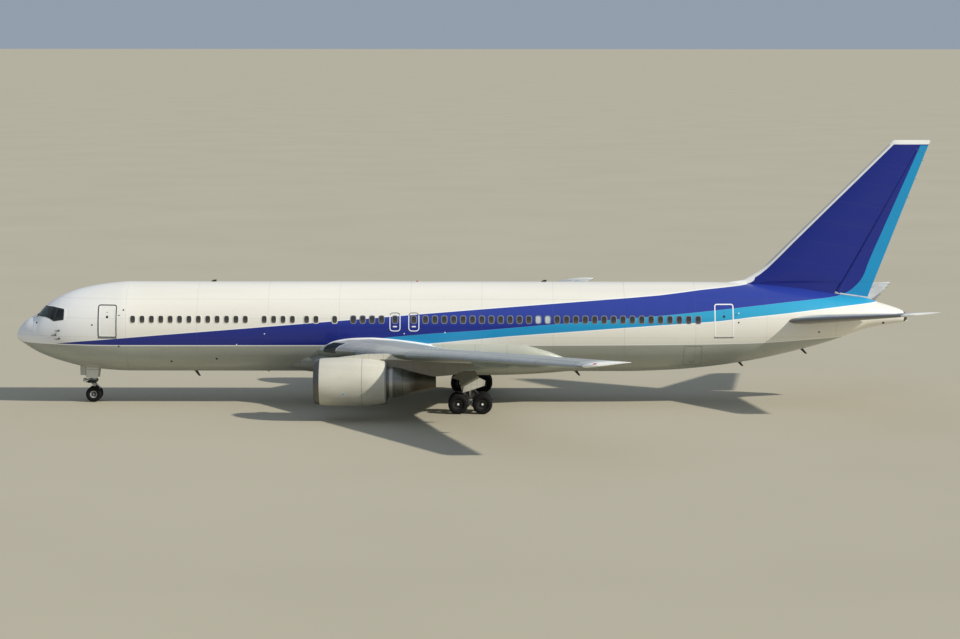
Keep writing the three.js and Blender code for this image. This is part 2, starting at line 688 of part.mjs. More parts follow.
// pylon: side outline, thickened round the engine's centre line with a sharp front
const PYLON = [
  [19450, 3610], [20060, 3680], [21510, 3845], [22700, 3865], [23300, 3855], [26000, 3700], [27700, 3600],
  [27700, 3180], [27100, 2900], [26400, 2660], [25490, 2585], [24200, 2700], [22900, 2900], [22500, 3250],
  [19900, 3540],
];
const pylonPlate = sidePlate(PYLON, ENGINE_Y - 190, 380);
const pylonPlan = solidOf(loft([2000, 4600].map((z) => [
  [19400, ENGINE_Y, z], [20200, ENGINE_Y + 130, z], [21600, ENGINE_Y + 190, z], [26000, ENGINE_Y + 190, z],
  [27750, ENGINE_Y + 20, z], [27750, ENGINE_Y - 20, z], [26000, ENGINE_Y - 190, z],
  [21600, ENGINE_Y - 190, z], [20200, ENGINE_Y - 130, z],
])));
const pylon = cut(pylonPlate.intersect(pylonPlan), nacelleRoom, coreRoom, wingRoom);

// Wheels and tyres

function tyreProfile({ radius, width, rim }) {
  const half = width / 2;
  return closed([
    [-0.62 * half, rim + 2], [-half, rim + 0.35 * (radius - rim)],
    [-0.9 * half, radius - 0.16 * (radius - rim)], [-0.62 * half, radius],
    [0.62 * half, radius], [0.9 * half, radius - 0.16 * (radius - rim)],
    [half, rim + 0.35 * (radius - rim)], [0.62 * half, rim + 2],
  ]);
}

function hubProfile({ width, rim }, outward) {
  const half = 0.6 * width / 2;
  const profile = [
    [-half, 0], [-half, rim], [half, rim], [half, 0.88 * rim], [half - 70, 0.8 * rim],
    [half - 50, 0.42 * rim], [half + 20, 0.3 * rim], [half + 20, 0],
  ];
  return outward > 0 ? profile : profile.map(([along, r]) => [-along, r]).reverse();
}

function wheelSet(tyre, x, y, z, twin, shaft) {
  const hubs = [-1, 1].map((way) => turned(hubProfile(tyre, way), WHEEL_SIDES, 'y', [x, y + way * twin / 2, z]));
  return join(rod([x, y - twin / 2, z], [x, y + twin / 2, z], shaft, 10), ...hubs);
}

const tyreSolid = (tyre, x, y, z) => turned(tyreProfile(tyre), WHEEL_SIDES, 'y', [x, y, z]);

// Main gear, starboard side

const mainAxles = [-1, 1].map((way) => MAIN_GEAR_X + way * MAIN_AXLE_SPACING / 2);
const mainZ = MAIN_TYRE.radius;
const mainWheels = mainAxles.map((x) => wheelSet(MAIN_TYRE, x, MAIN_GEAR_Y, mainZ, MAIN_TWIN_SPACING, 62));
const mainTyres = mainAxles.map((x) => [-1, 1].map((way) => (
  tyreSolid(MAIN_TYRE, x, MAIN_GEAR_Y + way * MAIN_TWIN_SPACING / 2, mainZ)
)));
const truckSleeves = mainAxles.map((x) => rod([x, MAIN_GEAR_Y - 330, mainZ], [x, MAIN_GEAR_Y + 330, mainZ], 130, 12));
const truckBores = mainAxles.map((x) => rod([x, MAIN_GEAR_Y - 400, mainZ], [x, MAIN_GEAR_Y + 400, mainZ], 75, 10));
const truckBeam = rod([mainAxles[0], MAIN_GEAR_Y, mainZ], [mainAxles[1], MAIN_GEAR_Y, mainZ], 115, 10);
const legTop = [MAIN_GEAR_X - 150, MAIN_GEAR_Y + 180, 3200];
const legFoot = [MAIN_GEAR_X, MAIN_GEAR_Y, 560];
const DOOR_OFFSET = 420;
const mainLeg = cut(
  join(
    rod(legFoot, [MAIN_GEAR_X - 60, MAIN_GEAR_Y + 70, 1600], 95, 12),
    rod([MAIN_GEAR_X - 55, MAIN_GEAR_Y + 65, 1450], legTop, 165, 12),
    rod([MAIN_GEAR_X - 80, MAIN_GEAR_Y + 90, 1900], [MAIN_GEAR_X - 100, 2400, 2750], 75, 8),
    rod([MAIN_GEAR_X - 80, MAIN_GEAR_Y + 90, 1850], [MAIN_GEAR_X - 1500, MAIN_GEAR_Y + 150, 3100], 70, 8),
    ...[1750, 2350].map((z) => (
      rod([MAIN_GEAR_X - 75, MAIN_GEAR_Y + 80, z], [MAIN_GEAR_X - 75, MAIN_GEAR_Y + DOOR_OFFSET, z], 40, 8)
    )),
    truckBeam, ...truckSleeves,
  ),
  ...truckBores, wingRoom, bellyRoom, bodyRoom,
);
const LEG_DOOR = [
  [26340, 2100], [27010, 2640], [27200, 2850], [27500, 2850], [27620, 2700], [27980, 2090],
  [27110, 1540], [26970, 1230], [26790, 1990],
];
const LEG_LEAF = [[27060, 1600], [27980, 2120], [28320, 1950], [28280, 1660], [26990, 1230]];
const legDoor = cut(
  join(
    sidePlate(LEG_DOOR, MAIN_GEAR_Y + DOOR_OFFSET, 45),
    sidePlate(LEG_LEAF, MAIN_GEAR_Y + DOOR_OFFSET + 30, 45),
  ),
  wingRoom,
);

// Nose gear

const noseZ = NOSE_TYRE.radius;
const noseWheels = wheelSet(NOSE_TYRE, NOSE_GEAR_X, 0, noseZ, NOSE_TWIN_SPACING, 48);
const noseTyres = [-1, 1].map((way) => tyreSolid(NOSE_TYRE, NOSE_GEAR_X, way * NOSE_TWIN_SPACING / 2, noseZ));
const noseLeg = cut(
  join(
    rod([NOSE_GEAR_X, 0, 1160], [NOSE_GEAR_X, 0, 2700], 130, 16),
    rod([NOSE_GEAR_X, 0, 1500], [NOSE_GEAR_X - 800, 0, 2600], 65, 10),
    rod([NOSE_GEAR_X + 60, -340, 2250], [NOSE_GEAR_X + 60, 340, 2250], 60, 10),
  ),
  cut(bodyRoom, noseBay(899)),
);
const steering = cut(
  join(
    rod([NOSE_GEAR_X, 0, noseZ], [NOSE_GEAR_X, 0, 1135], 85, 20),
    rod([NOSE_GEAR_X, 0, 1020], [NOSE_GEAR_X, 0, 1135], 150, 20),
    rod([NOSE_GEAR_X, -75, noseZ], [NOSE_GEAR_X, 75, noseZ], 105, 16),
    box(NOSE_GEAR_X - 150, 0, 620, 180, 90, 110),
  ),
  rod([NOSE_GEAR_X, -400, noseZ], [NOSE_GEAR_X, 400, noseZ], 60, 12),
);
const NOSE_DOOR = [[3830, 2450], [4990, 2300], [4900, 1440], [4200, 1480], [4170, 1640], [3850, 1650]];
const noseDoor = cut(sidePlate(NOSE_DOOR, 400, 30), bodyRoom);

// The scene graph

const aircraft = new THREE.Group();
aircraft.position.x = -MODEL_SCALE * LENGTH / 2;
aircraft.scale.setScalar(MODEL_SCALE);

function addMesh(name, finish, geometry) {
  const mesh = new THREE.Mesh(geometry, new THREE.MeshStandardMaterial(FINISHES[finish]));
  mesh.name = name;
  aircraft.add(mesh);
}
const addSolid = (name, finish, solid) => addMesh(name, finish, geometryOf(solid));
// a piece made on the starboard side, and its mirror image to port
function addPair(name, finish, solid) {
  const geometry = geometryOf(solid);
  addMesh(`${name}_starboard`, finish, geometry);
  addMesh(`${name}_port`, finish, mirrored(geometry));
}

addSolid('radome', 'white', bodySolid(0, RADOME_JOINT));
addSolid('nose_fuselage', 'white', noseBody);
addSolid('flight_deck_glazing', 'glass', glazing);
addSolid('cabin_fuselage', 'white', bodySolid(NOSE_JOINT + SEAM, AFT_JOINT));
addSolid('aft_fuselage', 'white', aftBody);
addSolid('tail_cone', 'white', bodySolid(TAIL_CONE_JOINT + SEAM, 53670));
addSolid('belly_fairing', 'grey', bellySolid);
addPair('wing', 'grey', wingSolid);
for (const name of Object.keys(SLATS)) addPair(name, 'bare', movers[name]);
for (const name of Object.keys(FLAPS)) addPair(name, 'grey', movers[name]);
for (const name of Object.keys(AILERONS)) addPair(name, 'grey', movers[name]);
addPair('spoiler', 'grey', movers.spoiler);
addPair('pylon', 'white', pylon);
addPair('nacelle', 'white', nacelle);
addPair('engine_core', 'hot_metal', core);
addPair('fan', 'fan', fan);
addSolid('fin', 'blue', finSolid);
addSolid('rudder', 'blue', rudder.moving);
addSolid('stabiliser', 'grey', stabiliser);
addPair('elevator', 'grey', elevator.moving);
addSolid('nose_gear_leg', 'gear', noseLeg);
addSolid('nose_gear_steering', 'gear', steering);
addSolid('nose_gear_wheels', 'hub', noseWheels);
addSolid('nose_tyre_starboard', 'tyre', noseTyres[1]);
addSolid('nose_tyre_port', 'tyre', noseTyres[0]);
addPair('nose_gear_door', 'white', noseDoor);
addPair('main_gear_leg', 'gear', mainLeg);
addPair('main_gear_door', 'grey', legDoor);
addPair('main_wheels_front', 'hub', mainWheels[0]);
addPair('main_wheels_rear', 'hub', mainWheels[1]);
addPair('main_tyre_front_inner', 'tyre', mainTyres[0][0]);
addPair('main_tyre_front_outer', 'tyre', mainTyres[0][1]);
addPair('main_tyre_rear_inner', 'tyre', mainTyres[1][0]);
addPair('main_tyre_rear_outer', 'tyre', mainTyres[1][1]);

// hinge lines of the starboard side in model metres
export const hingeLines = Object.fromEntries(Object.entries(hinges).map(([name, frame]) => {
  const metres = (point) => [(point.x - LENGTH / 2), point.y, point.z].map((v) => v * MODEL_SCALE / 1000);
  return [name, { start: metres(frame.start), end: metres(frame.end) }];
}));

export default aircraft;
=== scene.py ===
"""Looks of a twin-engine wide body airliner standing on its landing gear, a 1:2 scale model.

Places are written in real metres of the full-size aircraft: x is the station aft of the nose tip,
y is positive to starboard, z is the height above the ground. on_model() turns them into the
model's own metres. A shape is an array of grid points with its quads, worked out as whole arrays.
"""

import math

import bmesh
import bpy
import numpy as np
from mathutils import Matrix, Vector


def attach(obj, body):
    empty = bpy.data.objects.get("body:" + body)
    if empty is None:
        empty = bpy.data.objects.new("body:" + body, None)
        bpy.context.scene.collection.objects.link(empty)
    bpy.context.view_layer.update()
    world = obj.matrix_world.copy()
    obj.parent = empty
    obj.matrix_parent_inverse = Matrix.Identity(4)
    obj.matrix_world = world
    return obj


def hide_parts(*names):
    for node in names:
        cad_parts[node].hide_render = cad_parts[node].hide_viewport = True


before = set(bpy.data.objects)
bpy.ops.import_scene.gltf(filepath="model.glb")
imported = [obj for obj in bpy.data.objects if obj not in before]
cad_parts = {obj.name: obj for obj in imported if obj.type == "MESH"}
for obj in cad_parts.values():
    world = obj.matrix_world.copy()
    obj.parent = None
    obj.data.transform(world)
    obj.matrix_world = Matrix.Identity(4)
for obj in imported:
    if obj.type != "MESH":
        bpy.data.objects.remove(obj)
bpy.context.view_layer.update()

SCALE = 0.5
MIDDLE = 27.47
SIDES = {"starboard": 1, "port": -1}

# Camera: where the photograph was taken from, its turn, and its focal length in picture widths

EYE = (28.7008, -151.4527, 21.3436)
YAW, PITCH, ROLL = -0.00475, 0.10749, 0.00057
FOCAL = 2521.94 / 960
SENSOR_WIDTH = 36
FAR_CLIP = 40000


def make_camera():
    """The photograph's viewpoint: far off the port side, a little above the fin's height."""
    ahead = Vector((math.sin(YAW) * math.cos(PITCH), math.cos(YAW) * math.cos(PITCH), -math.sin(PITCH)))
    right = Vector((math.cos(YAW), -math.sin(YAW), 0))
    turn = Matrix((right, right.cross(ahead), -ahead)).transposed() @ Matrix.Rotation(ROLL, 3, "Z")
    data = bpy.data.cameras.new("camera")
    data.sensor_width = SENSOR_WIDTH
    data.lens = FOCAL * SENSOR_WIDTH
    data.clip_end = FAR_CLIP
    camera = bpy.data.objects.new("camera", data)
    camera.matrix_world = Matrix.Translation(on_model(EYE)) @ turn.to_4x4()
    bpy.context.scene.collection.objects.link(camera)
    bpy.context.scene.camera = camera


def on_model(points):
    """Real metres to the model's metres: stations count from the middle, and all is halved."""
    return (np.asarray(points, float) - (MIDDLE, 0, 0)) * SCALE


make_camera()


# Shader maths: a Value is one output of a finish's nodes, and a Finish is one material

RAMP_STOPS = 31
BUMP_STRENGTH = 0.6


class Value:
    """A number that varies over a surface. Python's operators on it add Math nodes."""

    def __init__(self, finish, socket):
        self.finish = finish
        self.socket = socket

    def math(self, operation, *others, clamp=False):
        settings = {"operation": operation, "use_clamp": clamp}
        return self.finish.node("Math", settings, dict(enumerate((self, *others))))

    def __add__(self, other):
        return self.math("ADD", other)

    def __sub__(self, other):
        return self.math("SUBTRACT", other)

    def __rsub__(self, other):
        return self.finish.node("Math", {"operation": "SUBTRACT"}, {0: other, 1: self})

    def __mul__(self, other):
        return self.math("MULTIPLY", other)

    def __truediv__(self, other):
        return self.math("DIVIDE", other)

    def __rtruediv__(self, other):
        return self.finish.node("Math", {"operation": "DIVIDE"}, {0: other, 1: self})

    def __abs__(self):
        return self.math("ABSOLUTE")

    __radd__ = __add__
    __rmul__ = __mul__

    def clip(self):
        """This value held between 0 and 1."""
        return self.math("ADD", 0.0, clamp=True)

    def above(self, limit, soft=0.012):
        """1 where this is above the limit, 0 below it, over a narrow soft edge."""
        return ((self - limit) / soft + 0.5).clip()

    def below(self, limit, soft=0.012):
        """1 where this is below the limit, 0 above it."""
        return 1 - self.above(limit, soft)

    def within(self, low, high, soft=0.012):
        """1 between two limits, 0 outside them."""
        return self.above(low, soft) * self.below(high, soft)

    def line(self, centre, half=0.012, soft=0.008):
        """1 on a narrow line at the centre value."""
        return abs(self - centre).below(half, soft)

    def lines(self, start, pitch, half=0.01, soft=0.008):
        """1 on narrow lines that repeat at an even pitch."""
        return (self - start).math("PINGPONG", pitch / 2).below(half, soft)

    def most(self, other):
        """The larger of two values."""
        return self.math("MAXIMUM", other)


class Finish:
    """One material, with the constants of its shader set directly and a few shared patterns."""

    def __init__(self, name, metallic=0.0, roughness=0.4, coat=0.0, coat_roughness=0.1, ior=1.5):
        self.material = bpy.data.materials.new(name)
        self.material.use_nodes = True
        self.tree = self.material.node_tree
        self.shader = self.tree.nodes["Principled BSDF"]
        self.set("Metallic", metallic)
        self.set("Roughness", roughness)
        self.set("Coat Weight", coat)
        self.set("Coat Roughness", coat_roughness)
        self.set("IOR", ior)
        self.place = self.node(
            "VectorMath", {"operation": "MULTIPLY_ADD"},
            {0: self.node("TexCoord", output="Object"), 1: (1 / SCALE,) * 3, 2: (MIDDLE, 0, 0)},
        )
        self.x, self.y, self.z = (
            self.node("SeparateXYZ", inputs={0: self.place}, output=axis) for axis in range(3)
        )

    def node(self, kind, settings=None, inputs=None, output=0):
        """One node: its settings first, then the values or links of its sockets."""
        node = self.tree.nodes.new("ShaderNode" + kind)
        for key, value in (settings or {}).items():
            if key == "stops":
                self.fill_ramp(node.color_ramp, value)
            else:
                setattr(node, key, value)
        for key, value in (inputs or {}).items():
            self.feed(node.inputs[key], value)
        return Value(self, node.outputs[output])

    def fill_ramp(self, ramp, stops):
        ramp.elements.remove(ramp.elements[1])
        for number, (position, grey) in enumerate(stops):
            element = ramp.elements.new(position) if number else ramp.elements[0]
            element.position = position
            element.color = (grey, grey, grey, 1)

    def feed(self, socket, value):
        if isinstance(value, Value):
            self.tree.links.new(value.socket, socket)
        elif socket.type == "RGBA" and len(value) == 3:
            socket.default_value = (*value, 1)
        else:
            socket.default_value = value

    def set(self, socket, value):
        self.feed(self.shader.inputs[socket], value)

    def mix(self, base, over, share):
        """The base colour with the over colour laid on it by a share from 0 to 1."""
        settings = {"data_type": "RGBA"}
        return self.node("Mix", settings, {0: share, 6: base, 7: over}, output=2)

    def noise(self, scale, detail=3.0, stretch=(1, 1, 1), seed=0.0):
        """Cloudy pattern about 0.5, its size given in lumps a real metre."""
        where = self.node("Mapping", inputs={0: self.place, "Location": (seed,) * 3, "Scale": stretch})
        return self.node("TexNoise", inputs={"Vector": where, "Scale": scale, "Detail": detail})

    def along(self, value, points):
        """Height of a smooth line through a few points, as a function of a value, by a colour ramp
        with RAMP_STOPS stops at most."""
        knots, heights = np.transpose(points)
        between = (RAMP_STOPS - 1) // (len(knots) - 1)
        at = np.concatenate([np.linspace(a, b, between + 1)[:-1] for a, b in zip(knots, knots[1:])])
        at = np.append(at, knots[-1])
        points = np.column_stack([at, through(at, knots, heights)]).tolist()
        start, end = points[0][0], points[-1][0]
        low, span = float(heights.min()), float(heights.max() - heights.min())
        stops = [((at - start) / (end - start), (height - low) / span) for at, height in points]
        share = ((value - start) / (end - start)).clip()
        return self.node("ValToRGB", {"stops": stops}, {0: share}) * span + low

    def bump(self, height, distance):
        """Bumps of a height, 1 of which stands a distance in model metres off the skin."""
        inputs = {"Height": height, "Distance": distance, "Strength": BUMP_STRENGTH}
        self.set("Normal", self.node("Bump", inputs=inputs))

    def dressed(self, colour, height, distance):
        """This finish, with its colour and its bump laid on."""
        self.set("Base Color", colour)
        self.bump(height, distance)
        return self

    def worn(self, colour, amount=0.12, streak=(0.25, 1, 1), seed=0.0):
        """The colour with faint clouds and streaks of grime that darken it."""
        clouds = self.noise(0.8, 4.0, streak, seed)
        grain = self.noise(9.0, 2.0, seed=seed + 5)
        share = ((clouds - 0.42) * 2.2).clip() * 0.75 + ((grain - 0.5) * 1.5).clip() * 0.5
        return self.mix(colour, GRIME, (share * amount).clip())


def srgb(red, green, blue):
    """A colour as seen, 0 to 255, to the linear numbers that a shader takes."""
    shares = [channel / 255 for channel in (red, green, blue)]
    return tuple(c / 12.92 if c <= 0.04045 else ((c + 0.055) / 1.055) ** 2.4 for c in shares)


GRIME = srgb(88, 82, 68)
CREAM = srgb(241, 238, 227)
DARK_BLUE = srgb(8, 33, 134)
LIGHT_BLUE = srgb(4, 148, 203)
# The two paler blues are painted sunlight on the upper skin
SUNLIT_DARK_BLUE = srgb(42, 62, 157)
SUNLIT_LIGHT_BLUE = srgb(45, 167, 209)
PURE_WHITE = srgb(250, 250, 247)
BELLY_GREY = srgb(172, 176, 166)
WING_GREY = srgb(200, 205, 201)
PANEL_GREY = srgb(162, 168, 167)
SEAM_GREY = srgb(92, 92, 90)
BARE_METAL = srgb(200, 202, 205)
LEADING_METAL = srgb(206, 208, 204)
# Cooler white on the nose, painted skylight
SKYLIT_NOSE_WHITE = srgb(252, 253, 254)
COWL_CREAM = srgb(214, 211, 196)
RUBBER = srgb(8, 8, 9)
DARK_SPOT = srgb(38, 38, 38)
EXHAUST_GREY = srgb(64, 64, 62)
# Darker grey of the belly fairing's front, painted shade
FAIRING_PAINTED_SHADE = srgb(142, 146, 137)
FAIRING_CREAM = srgb(184, 187, 174)
# Darker grey of the wings' lower skins, painted shade
UNDERSIDE_SHADE_GREY = srgb(138, 147, 141)

# Livery: edges of the stripes as (station, height) along the side

BLUE_TOP = [
    (2.69, 3.74), (4.2, 3.9), (13.72, 4.69), (24.42, 5.56), (27.99, 5.84), (35.14, 6.37), (38.73, 6.64),
    (41.2, 6.93), (43.2, 7.11), (43.98, 7.2), (44.46, 7.41), (44.8, 9.0),
]
BLUE_FOOT = [
    (21.6, 4.02), (22.46, 4.19), (27.99, 4.61), (33.52, 5.08), (38.69, 5.48), (42.3, 5.83), (46.29, 6.24),
    (48.47, 6.42), (49.43, 6.51), (50.01, 6.65), (50.67, 7.14), (51.1, 7.76), (51.32, 8.43), (51.97, 9.97),
    (54.35, 15.52),
]
LIGHT_FOOT = [
    (21.6, 3.5), (24.64, 3.78), (29.52, 4.25), (33.52, 4.55), (38.69, 4.93), (42.27, 5.18), (44.2, 5.41),
    (46.28, 5.61), (48.37, 5.83), (50.0, 5.99), (51.5, 6.12), (54.0, 6.3),
]
BELLY_TOP = [(0.0, 3.7), (2.6, 3.67), (6.0, 3.64), (31.7, 3.69), (43.6, 3.79), (48.7, 4.02), (54.0, 4.25)]
STRIPE_START = 2.69
LIGHT_START = 21.6
# Painted sunlight on the blues starts at this height and is full this much higher
SUNLIT_FROM, SUNLIT_RISE = 4.8, 0.6
PIPING = 0.055
BELLY_PIPING_START = 1.2
SKYLIT_NOSE_END = 8.0
EXHAUST_START = 53.5

# Painted shade on the belly fairing's front, and its cream band, which ends on a slanted line through a
# corner
PAINTED_SHADE_END = 20.5
CREAM_BAND = {"foot": 3.12, "top": 3.84, "start": 25.0, "corner": (32.44, 3.1), "slant": 0.92}

# Skin joints round the fuselage, and lap joints along it
FRAME_JOINTS = {"start": 6.9, "pitch": 4.24}
LAP_JOINTS = {"start": 3.05, "pitch": 1.12}


def striped(finish, base):
    """Lays the belly colour, the two blue bands and their white piping on a base colour. The blues
    are painted paler high up as painted sunlight, where the skin faces the sun."""
    x, z = finish.x, finish.z
    aft = x.above(LIGHT_START)
    blue_top = finish.along(x, BLUE_TOP)
    blue_foot = finish.along(x, BLUE_FOOT)
    light_foot = finish.along(x, LIGHT_FOOT)
    belly_top = finish.along(x, BELLY_TOP)
    started = x.above(STRIPE_START)
    # Painted sunlight: the blues turn paler upward, where the skin faces the sun
    sunlit_share = ((z - SUNLIT_FROM) / SUNLIT_RISE).clip()
    upper = finish.mix(base, PURE_WHITE, z.within(blue_top, blue_top + PIPING) * started)
    upper = finish.mix(upper, PURE_WHITE, z.within(light_foot - PIPING, light_foot) * aft)
    light = finish.mix(LIGHT_BLUE, SUNLIT_LIGHT_BLUE, sunlit_share)
    upper = finish.mix(upper, light, z.within(light_foot, blue_foot) * aft)
    lower_edge = blue_foot * aft + (belly_top + PIPING) * (1 - aft)
    dark = finish.mix(DARK_BLUE, SUNLIT_DARK_BLUE, sunlit_share)
    upper = finish.mix(upper, dark, z.within(lower_edge, blue_top) * started)
    belly = z.below(belly_top)
    piping = z.within(belly_top, belly_top + PIPING) * x.above(BELLY_PIPING_START)
    upper = finish.mix(upper, PURE_WHITE, piping)
    return finish.mix(upper, finish.worn(BELLY_GREY, 0.5, (0.12, 1, 1)), belly)


def fuselage_paint():
    """Gloss cream with the livery's bands, fine skin joints, and grime that thickens low down. Towards the
    nose tip the cream turns a cooler white as painted skylight.
    """
    finish = Finish("fuselage_paint", roughness=0.3, coat=0.35, coat_roughness=0.12)
    # Painted skylight: the cream whitens towards the nose tip, where the sky lights the nose
    skin = finish.mix(CREAM, SKYLIT_NOSE_WHITE, ((SKYLIT_NOSE_END - finish.x) * 0.16).clip())
    colour = striped(finish, finish.worn(skin, 0.16, (0.1, 1, 0.6)))
    frames = finish.x.lines(FRAME_JOINTS["start"], FRAME_JOINTS["pitch"], 0.009)
    laps = finish.z.lines(LAP_JOINTS["start"], LAP_JOINTS["pitch"], 0.007)
    joints = frames.most(laps)
    colour = finish.mix(colour, EXHAUST_GREY, finish.x.above(EXHAUST_START))
    finish.set("Roughness", 0.26 + finish.noise(1.6, 4.0) * 0.16)
    colour = finish.mix(colour, SEAM_GREY, joints * 0.28)
    return finish.dressed(colour, finish.noise(1.2, 2.0, (0.6, 1, 1)) * 0.35 - joints, 0.0015)


def fairing_paint():
    """Belly fairing: the belly's grey, darkened at the front as painted shade, with a cream band along the
    wing root, and panel joints.
    """
    finish = Finish("fairing_paint", roughness=0.38, coat=0.15)
    x, z = finish.x, finish.z
    # Painted shade: the fairing's front is darkened
    front = ((PAINTED_SHADE_END - x) * 0.4).clip()
    grey = finish.worn(finish.mix(BELLY_GREY, FAIRING_PAINTED_SHADE, front), 0.6, (0.15, 1, 1), 3.0)
    end, height = CREAM_BAND["corner"]
    band = z.within(CREAM_BAND["foot"], CREAM_BAND["top"]) * x.above(CREAM_BAND["start"])
    band = band * (x + (z - height) * CREAM_BAND["slant"]).below(end)
    colour = finish.mix(grey, finish.worn(FAIRING_CREAM, 0.2), band)
    joints = x.lines(18.2, 1.9, 0.01).most(abs(finish.y).lines(0.62, 1.24, 0.009))
    colour = finish.mix(colour, SEAM_GREY, joints * 0.5)
    return finish.dressed(colour, finish.noise(2.0, 2.0) * 0.3 - joints, 0.0015)


# Surfaces as arrays

BLOCK_EDGE = 0.012
WELD_REACH, FLAT_REACH = 2e-5, 1e-6


def through(at, knots, values):
    """Smooth line through a table: cubic pieces whose slopes never overshoot the table's rows."""
    knots, values = np.asarray(knots, float), np.asarray(values, float)
    steps = np.diff(knots)
    slopes = np.diff(values) / steps
    before, after = slopes[:-1], slopes[1:]
    weight_a = 2 * steps[1:] + steps[:-1]
    weight_b = steps[1:] + 2 * steps[:-1]
    same = before * after > 0
    safe_before, safe_after = np.where(same, before, 1), np.where(same, after, 1)
    inner = (weight_a + weight_b) / (weight_a / safe_before + weight_b / safe_after)
    tangents = np.concatenate([slopes[:1], np.where(same, inner, 0), slopes[-1:]])
    i = np.clip(np.searchsorted(knots, at) - 1, 0, len(steps) - 1)
    h = steps[i]
    t = (at - knots[i]) / h
    return (
        (1 + 2 * t) * (1 - t) ** 2 * values[i] + t * (1 - t) ** 2 * h * tangents[i]
        + t * t * (3 - 2 * t) * values[i + 1] + t * t * (t - 1) * h * tangents[i + 1]
    )


def grid(points, around=False, ends=False):
    """Quads over rows and columns of points: around joins the last column to the first, and
    ends closes the first and last row on their middle. Leading axes repeat the shape."""
    if ends:
        first, last = (points[..., row, :, :].mean(-2, keepdims=True) for row in (0, -1))
        wide = np.broadcast_to
        shape = points[..., 0, :, :].shape
        closing = [wide(cap, shape)[..., None, :, :] for cap in (first, last)]
        points = np.concatenate([closing[0], points, closing[1]], -3)
    rows, columns = points.shape[-3:-1]
    i, j = np.meshgrid(np.arange(rows - 1), np.arange(columns - (not around)), indexing="ij")
    k = (j + 1) % columns
    quads = np.stack([i * columns + j, i * columns + k, (i + 1) * columns + k, (i + 1) * columns + j], -1)
    copies = int(np.prod(points.shape[:-3], dtype=int))
    quads = quads.reshape(-1, 4) + np.arange(copies)[:, None, None] * rows * columns
    return points.reshape(-1, 3), quads.reshape(-1, 4)


def mirrored(shape):
    """The same shape on the other side, still facing outward."""
    points, faces = shape
    return points * (1, -1, 1), faces[:, ::-1]


def both_sides(*shapes):
    """Shapes of the starboard side, and the same on the port side."""
    return [*shapes, *(mirrored(shape) for shape in shapes)]


def on_side(shape, side):
    """A shape of the starboard side, mirrored if it is meant for the port side."""
    return shape if side == "starboard" else mirrored(shape)


def ring(count, start=0.0):
    """Even angles round a circle."""
    return start + np.arange(count) * 2 * math.pi / count


def turned(profile, centre, axis="x", sides=64):
    """Surface of revolution: rows of (distance along the axis, radius) carried round it."""
    profile = np.asarray(profile, float)
    angle = ring(sides)
    along, radius = profile[:, :1] + 0 * angle, profile[:, 1:]
    across = [radius * np.cos(angle), radius * np.sin(angle)]
    order = {"x": (along, *across), "y": (across[0], along, across[1]), "z": (*across, along)}
    return grid(np.stack(order[axis], -1) + np.asarray(centre), around=True)


def closed_turned(profile, centre, axis="x", sides=64):
    """Ring-shaped solid of revolution: the profile's last point joins its first."""
    return turned([*profile, profile[0]], centre, axis, sides)


def tube(path, radius, sides=12):
    """Circle carried along a path, square to it, with closed ends. The radius may vary."""
    path = np.asarray(path, float)
    ahead = np.gradient(path, axis=0)
    ahead /= np.linalg.norm(ahead, axis=1, keepdims=True)
    aside = np.eye(3)[abs(ahead).max(0).argmin()]
    first = np.cross(ahead, aside)
    first /= np.linalg.norm(first, axis=1, keepdims=True)
    second = np.cross(ahead, first)
    angle = ring(sides)[:, None]
    spread = np.broadcast_to(np.asarray(radius, float), len(path))[:, None, None]
    circle = first[:, None] * np.cos(angle) + second[:, None] * np.sin(angle)
    return grid(path[:, None] + spread * circle, around=True, ends=True)


def bar(start, end, radius, end_radius=None, sides=24, edge=0.012):
    """Round bar between two points, its ends slightly chamfered."""
    start, end = np.asarray(start, float), np.asarray(end, float)
    length = np.linalg.norm(end - start)
    end_radius = radius if end_radius is None else end_radius
    shares = np.array([0, edge / length, 1 - edge / length, 1])[:, None]
    radii = np.array([radius - edge, radius, end_radius, end_radius - edge])
    return tube(start + shares * (end - start), radii, sides)


def block(centre, size):
    """Box with chamfered edges: eight columns at four heights."""
    edge = BLOCK_EDGE
    half = np.asarray(size, float) / 2
    x = np.array([1, 1, 1, -1, -1, -1, -1, 1]) * half[0]
    y = np.array([-1, 1, 1, 1, 1, -1, -1, -1]) * half[1]
    x -= np.array([0, 0, 1, -1, 0, 0, -1, 1]) * edge
    y -= np.array([-1, 1, 0, 0, 1, -1, 0, 0]) * edge
    heights = np.array([-half[2], edge - half[2], half[2] - edge, half[2]])
    shrink = np.array([1, 0, 0, 1])[:, None] * edge
    flat = np.stack(np.broadcast_arrays(
        x - np.sign(x) * shrink, y - np.sign(y) * shrink, heights[:, None]), -1)
    return grid(flat + np.asarray(centre), around=True, ends=True)


def slab(outline, low, high):
    """Flat plate: an outline of (station, height) corners carried straight across from low to high."""
    outline = np.asarray(outline, float)
    rows = [np.insert(outline, 1, across, axis=1) for across in (low, high)]
    return grid(np.stack(rows), around=True, ends=True)


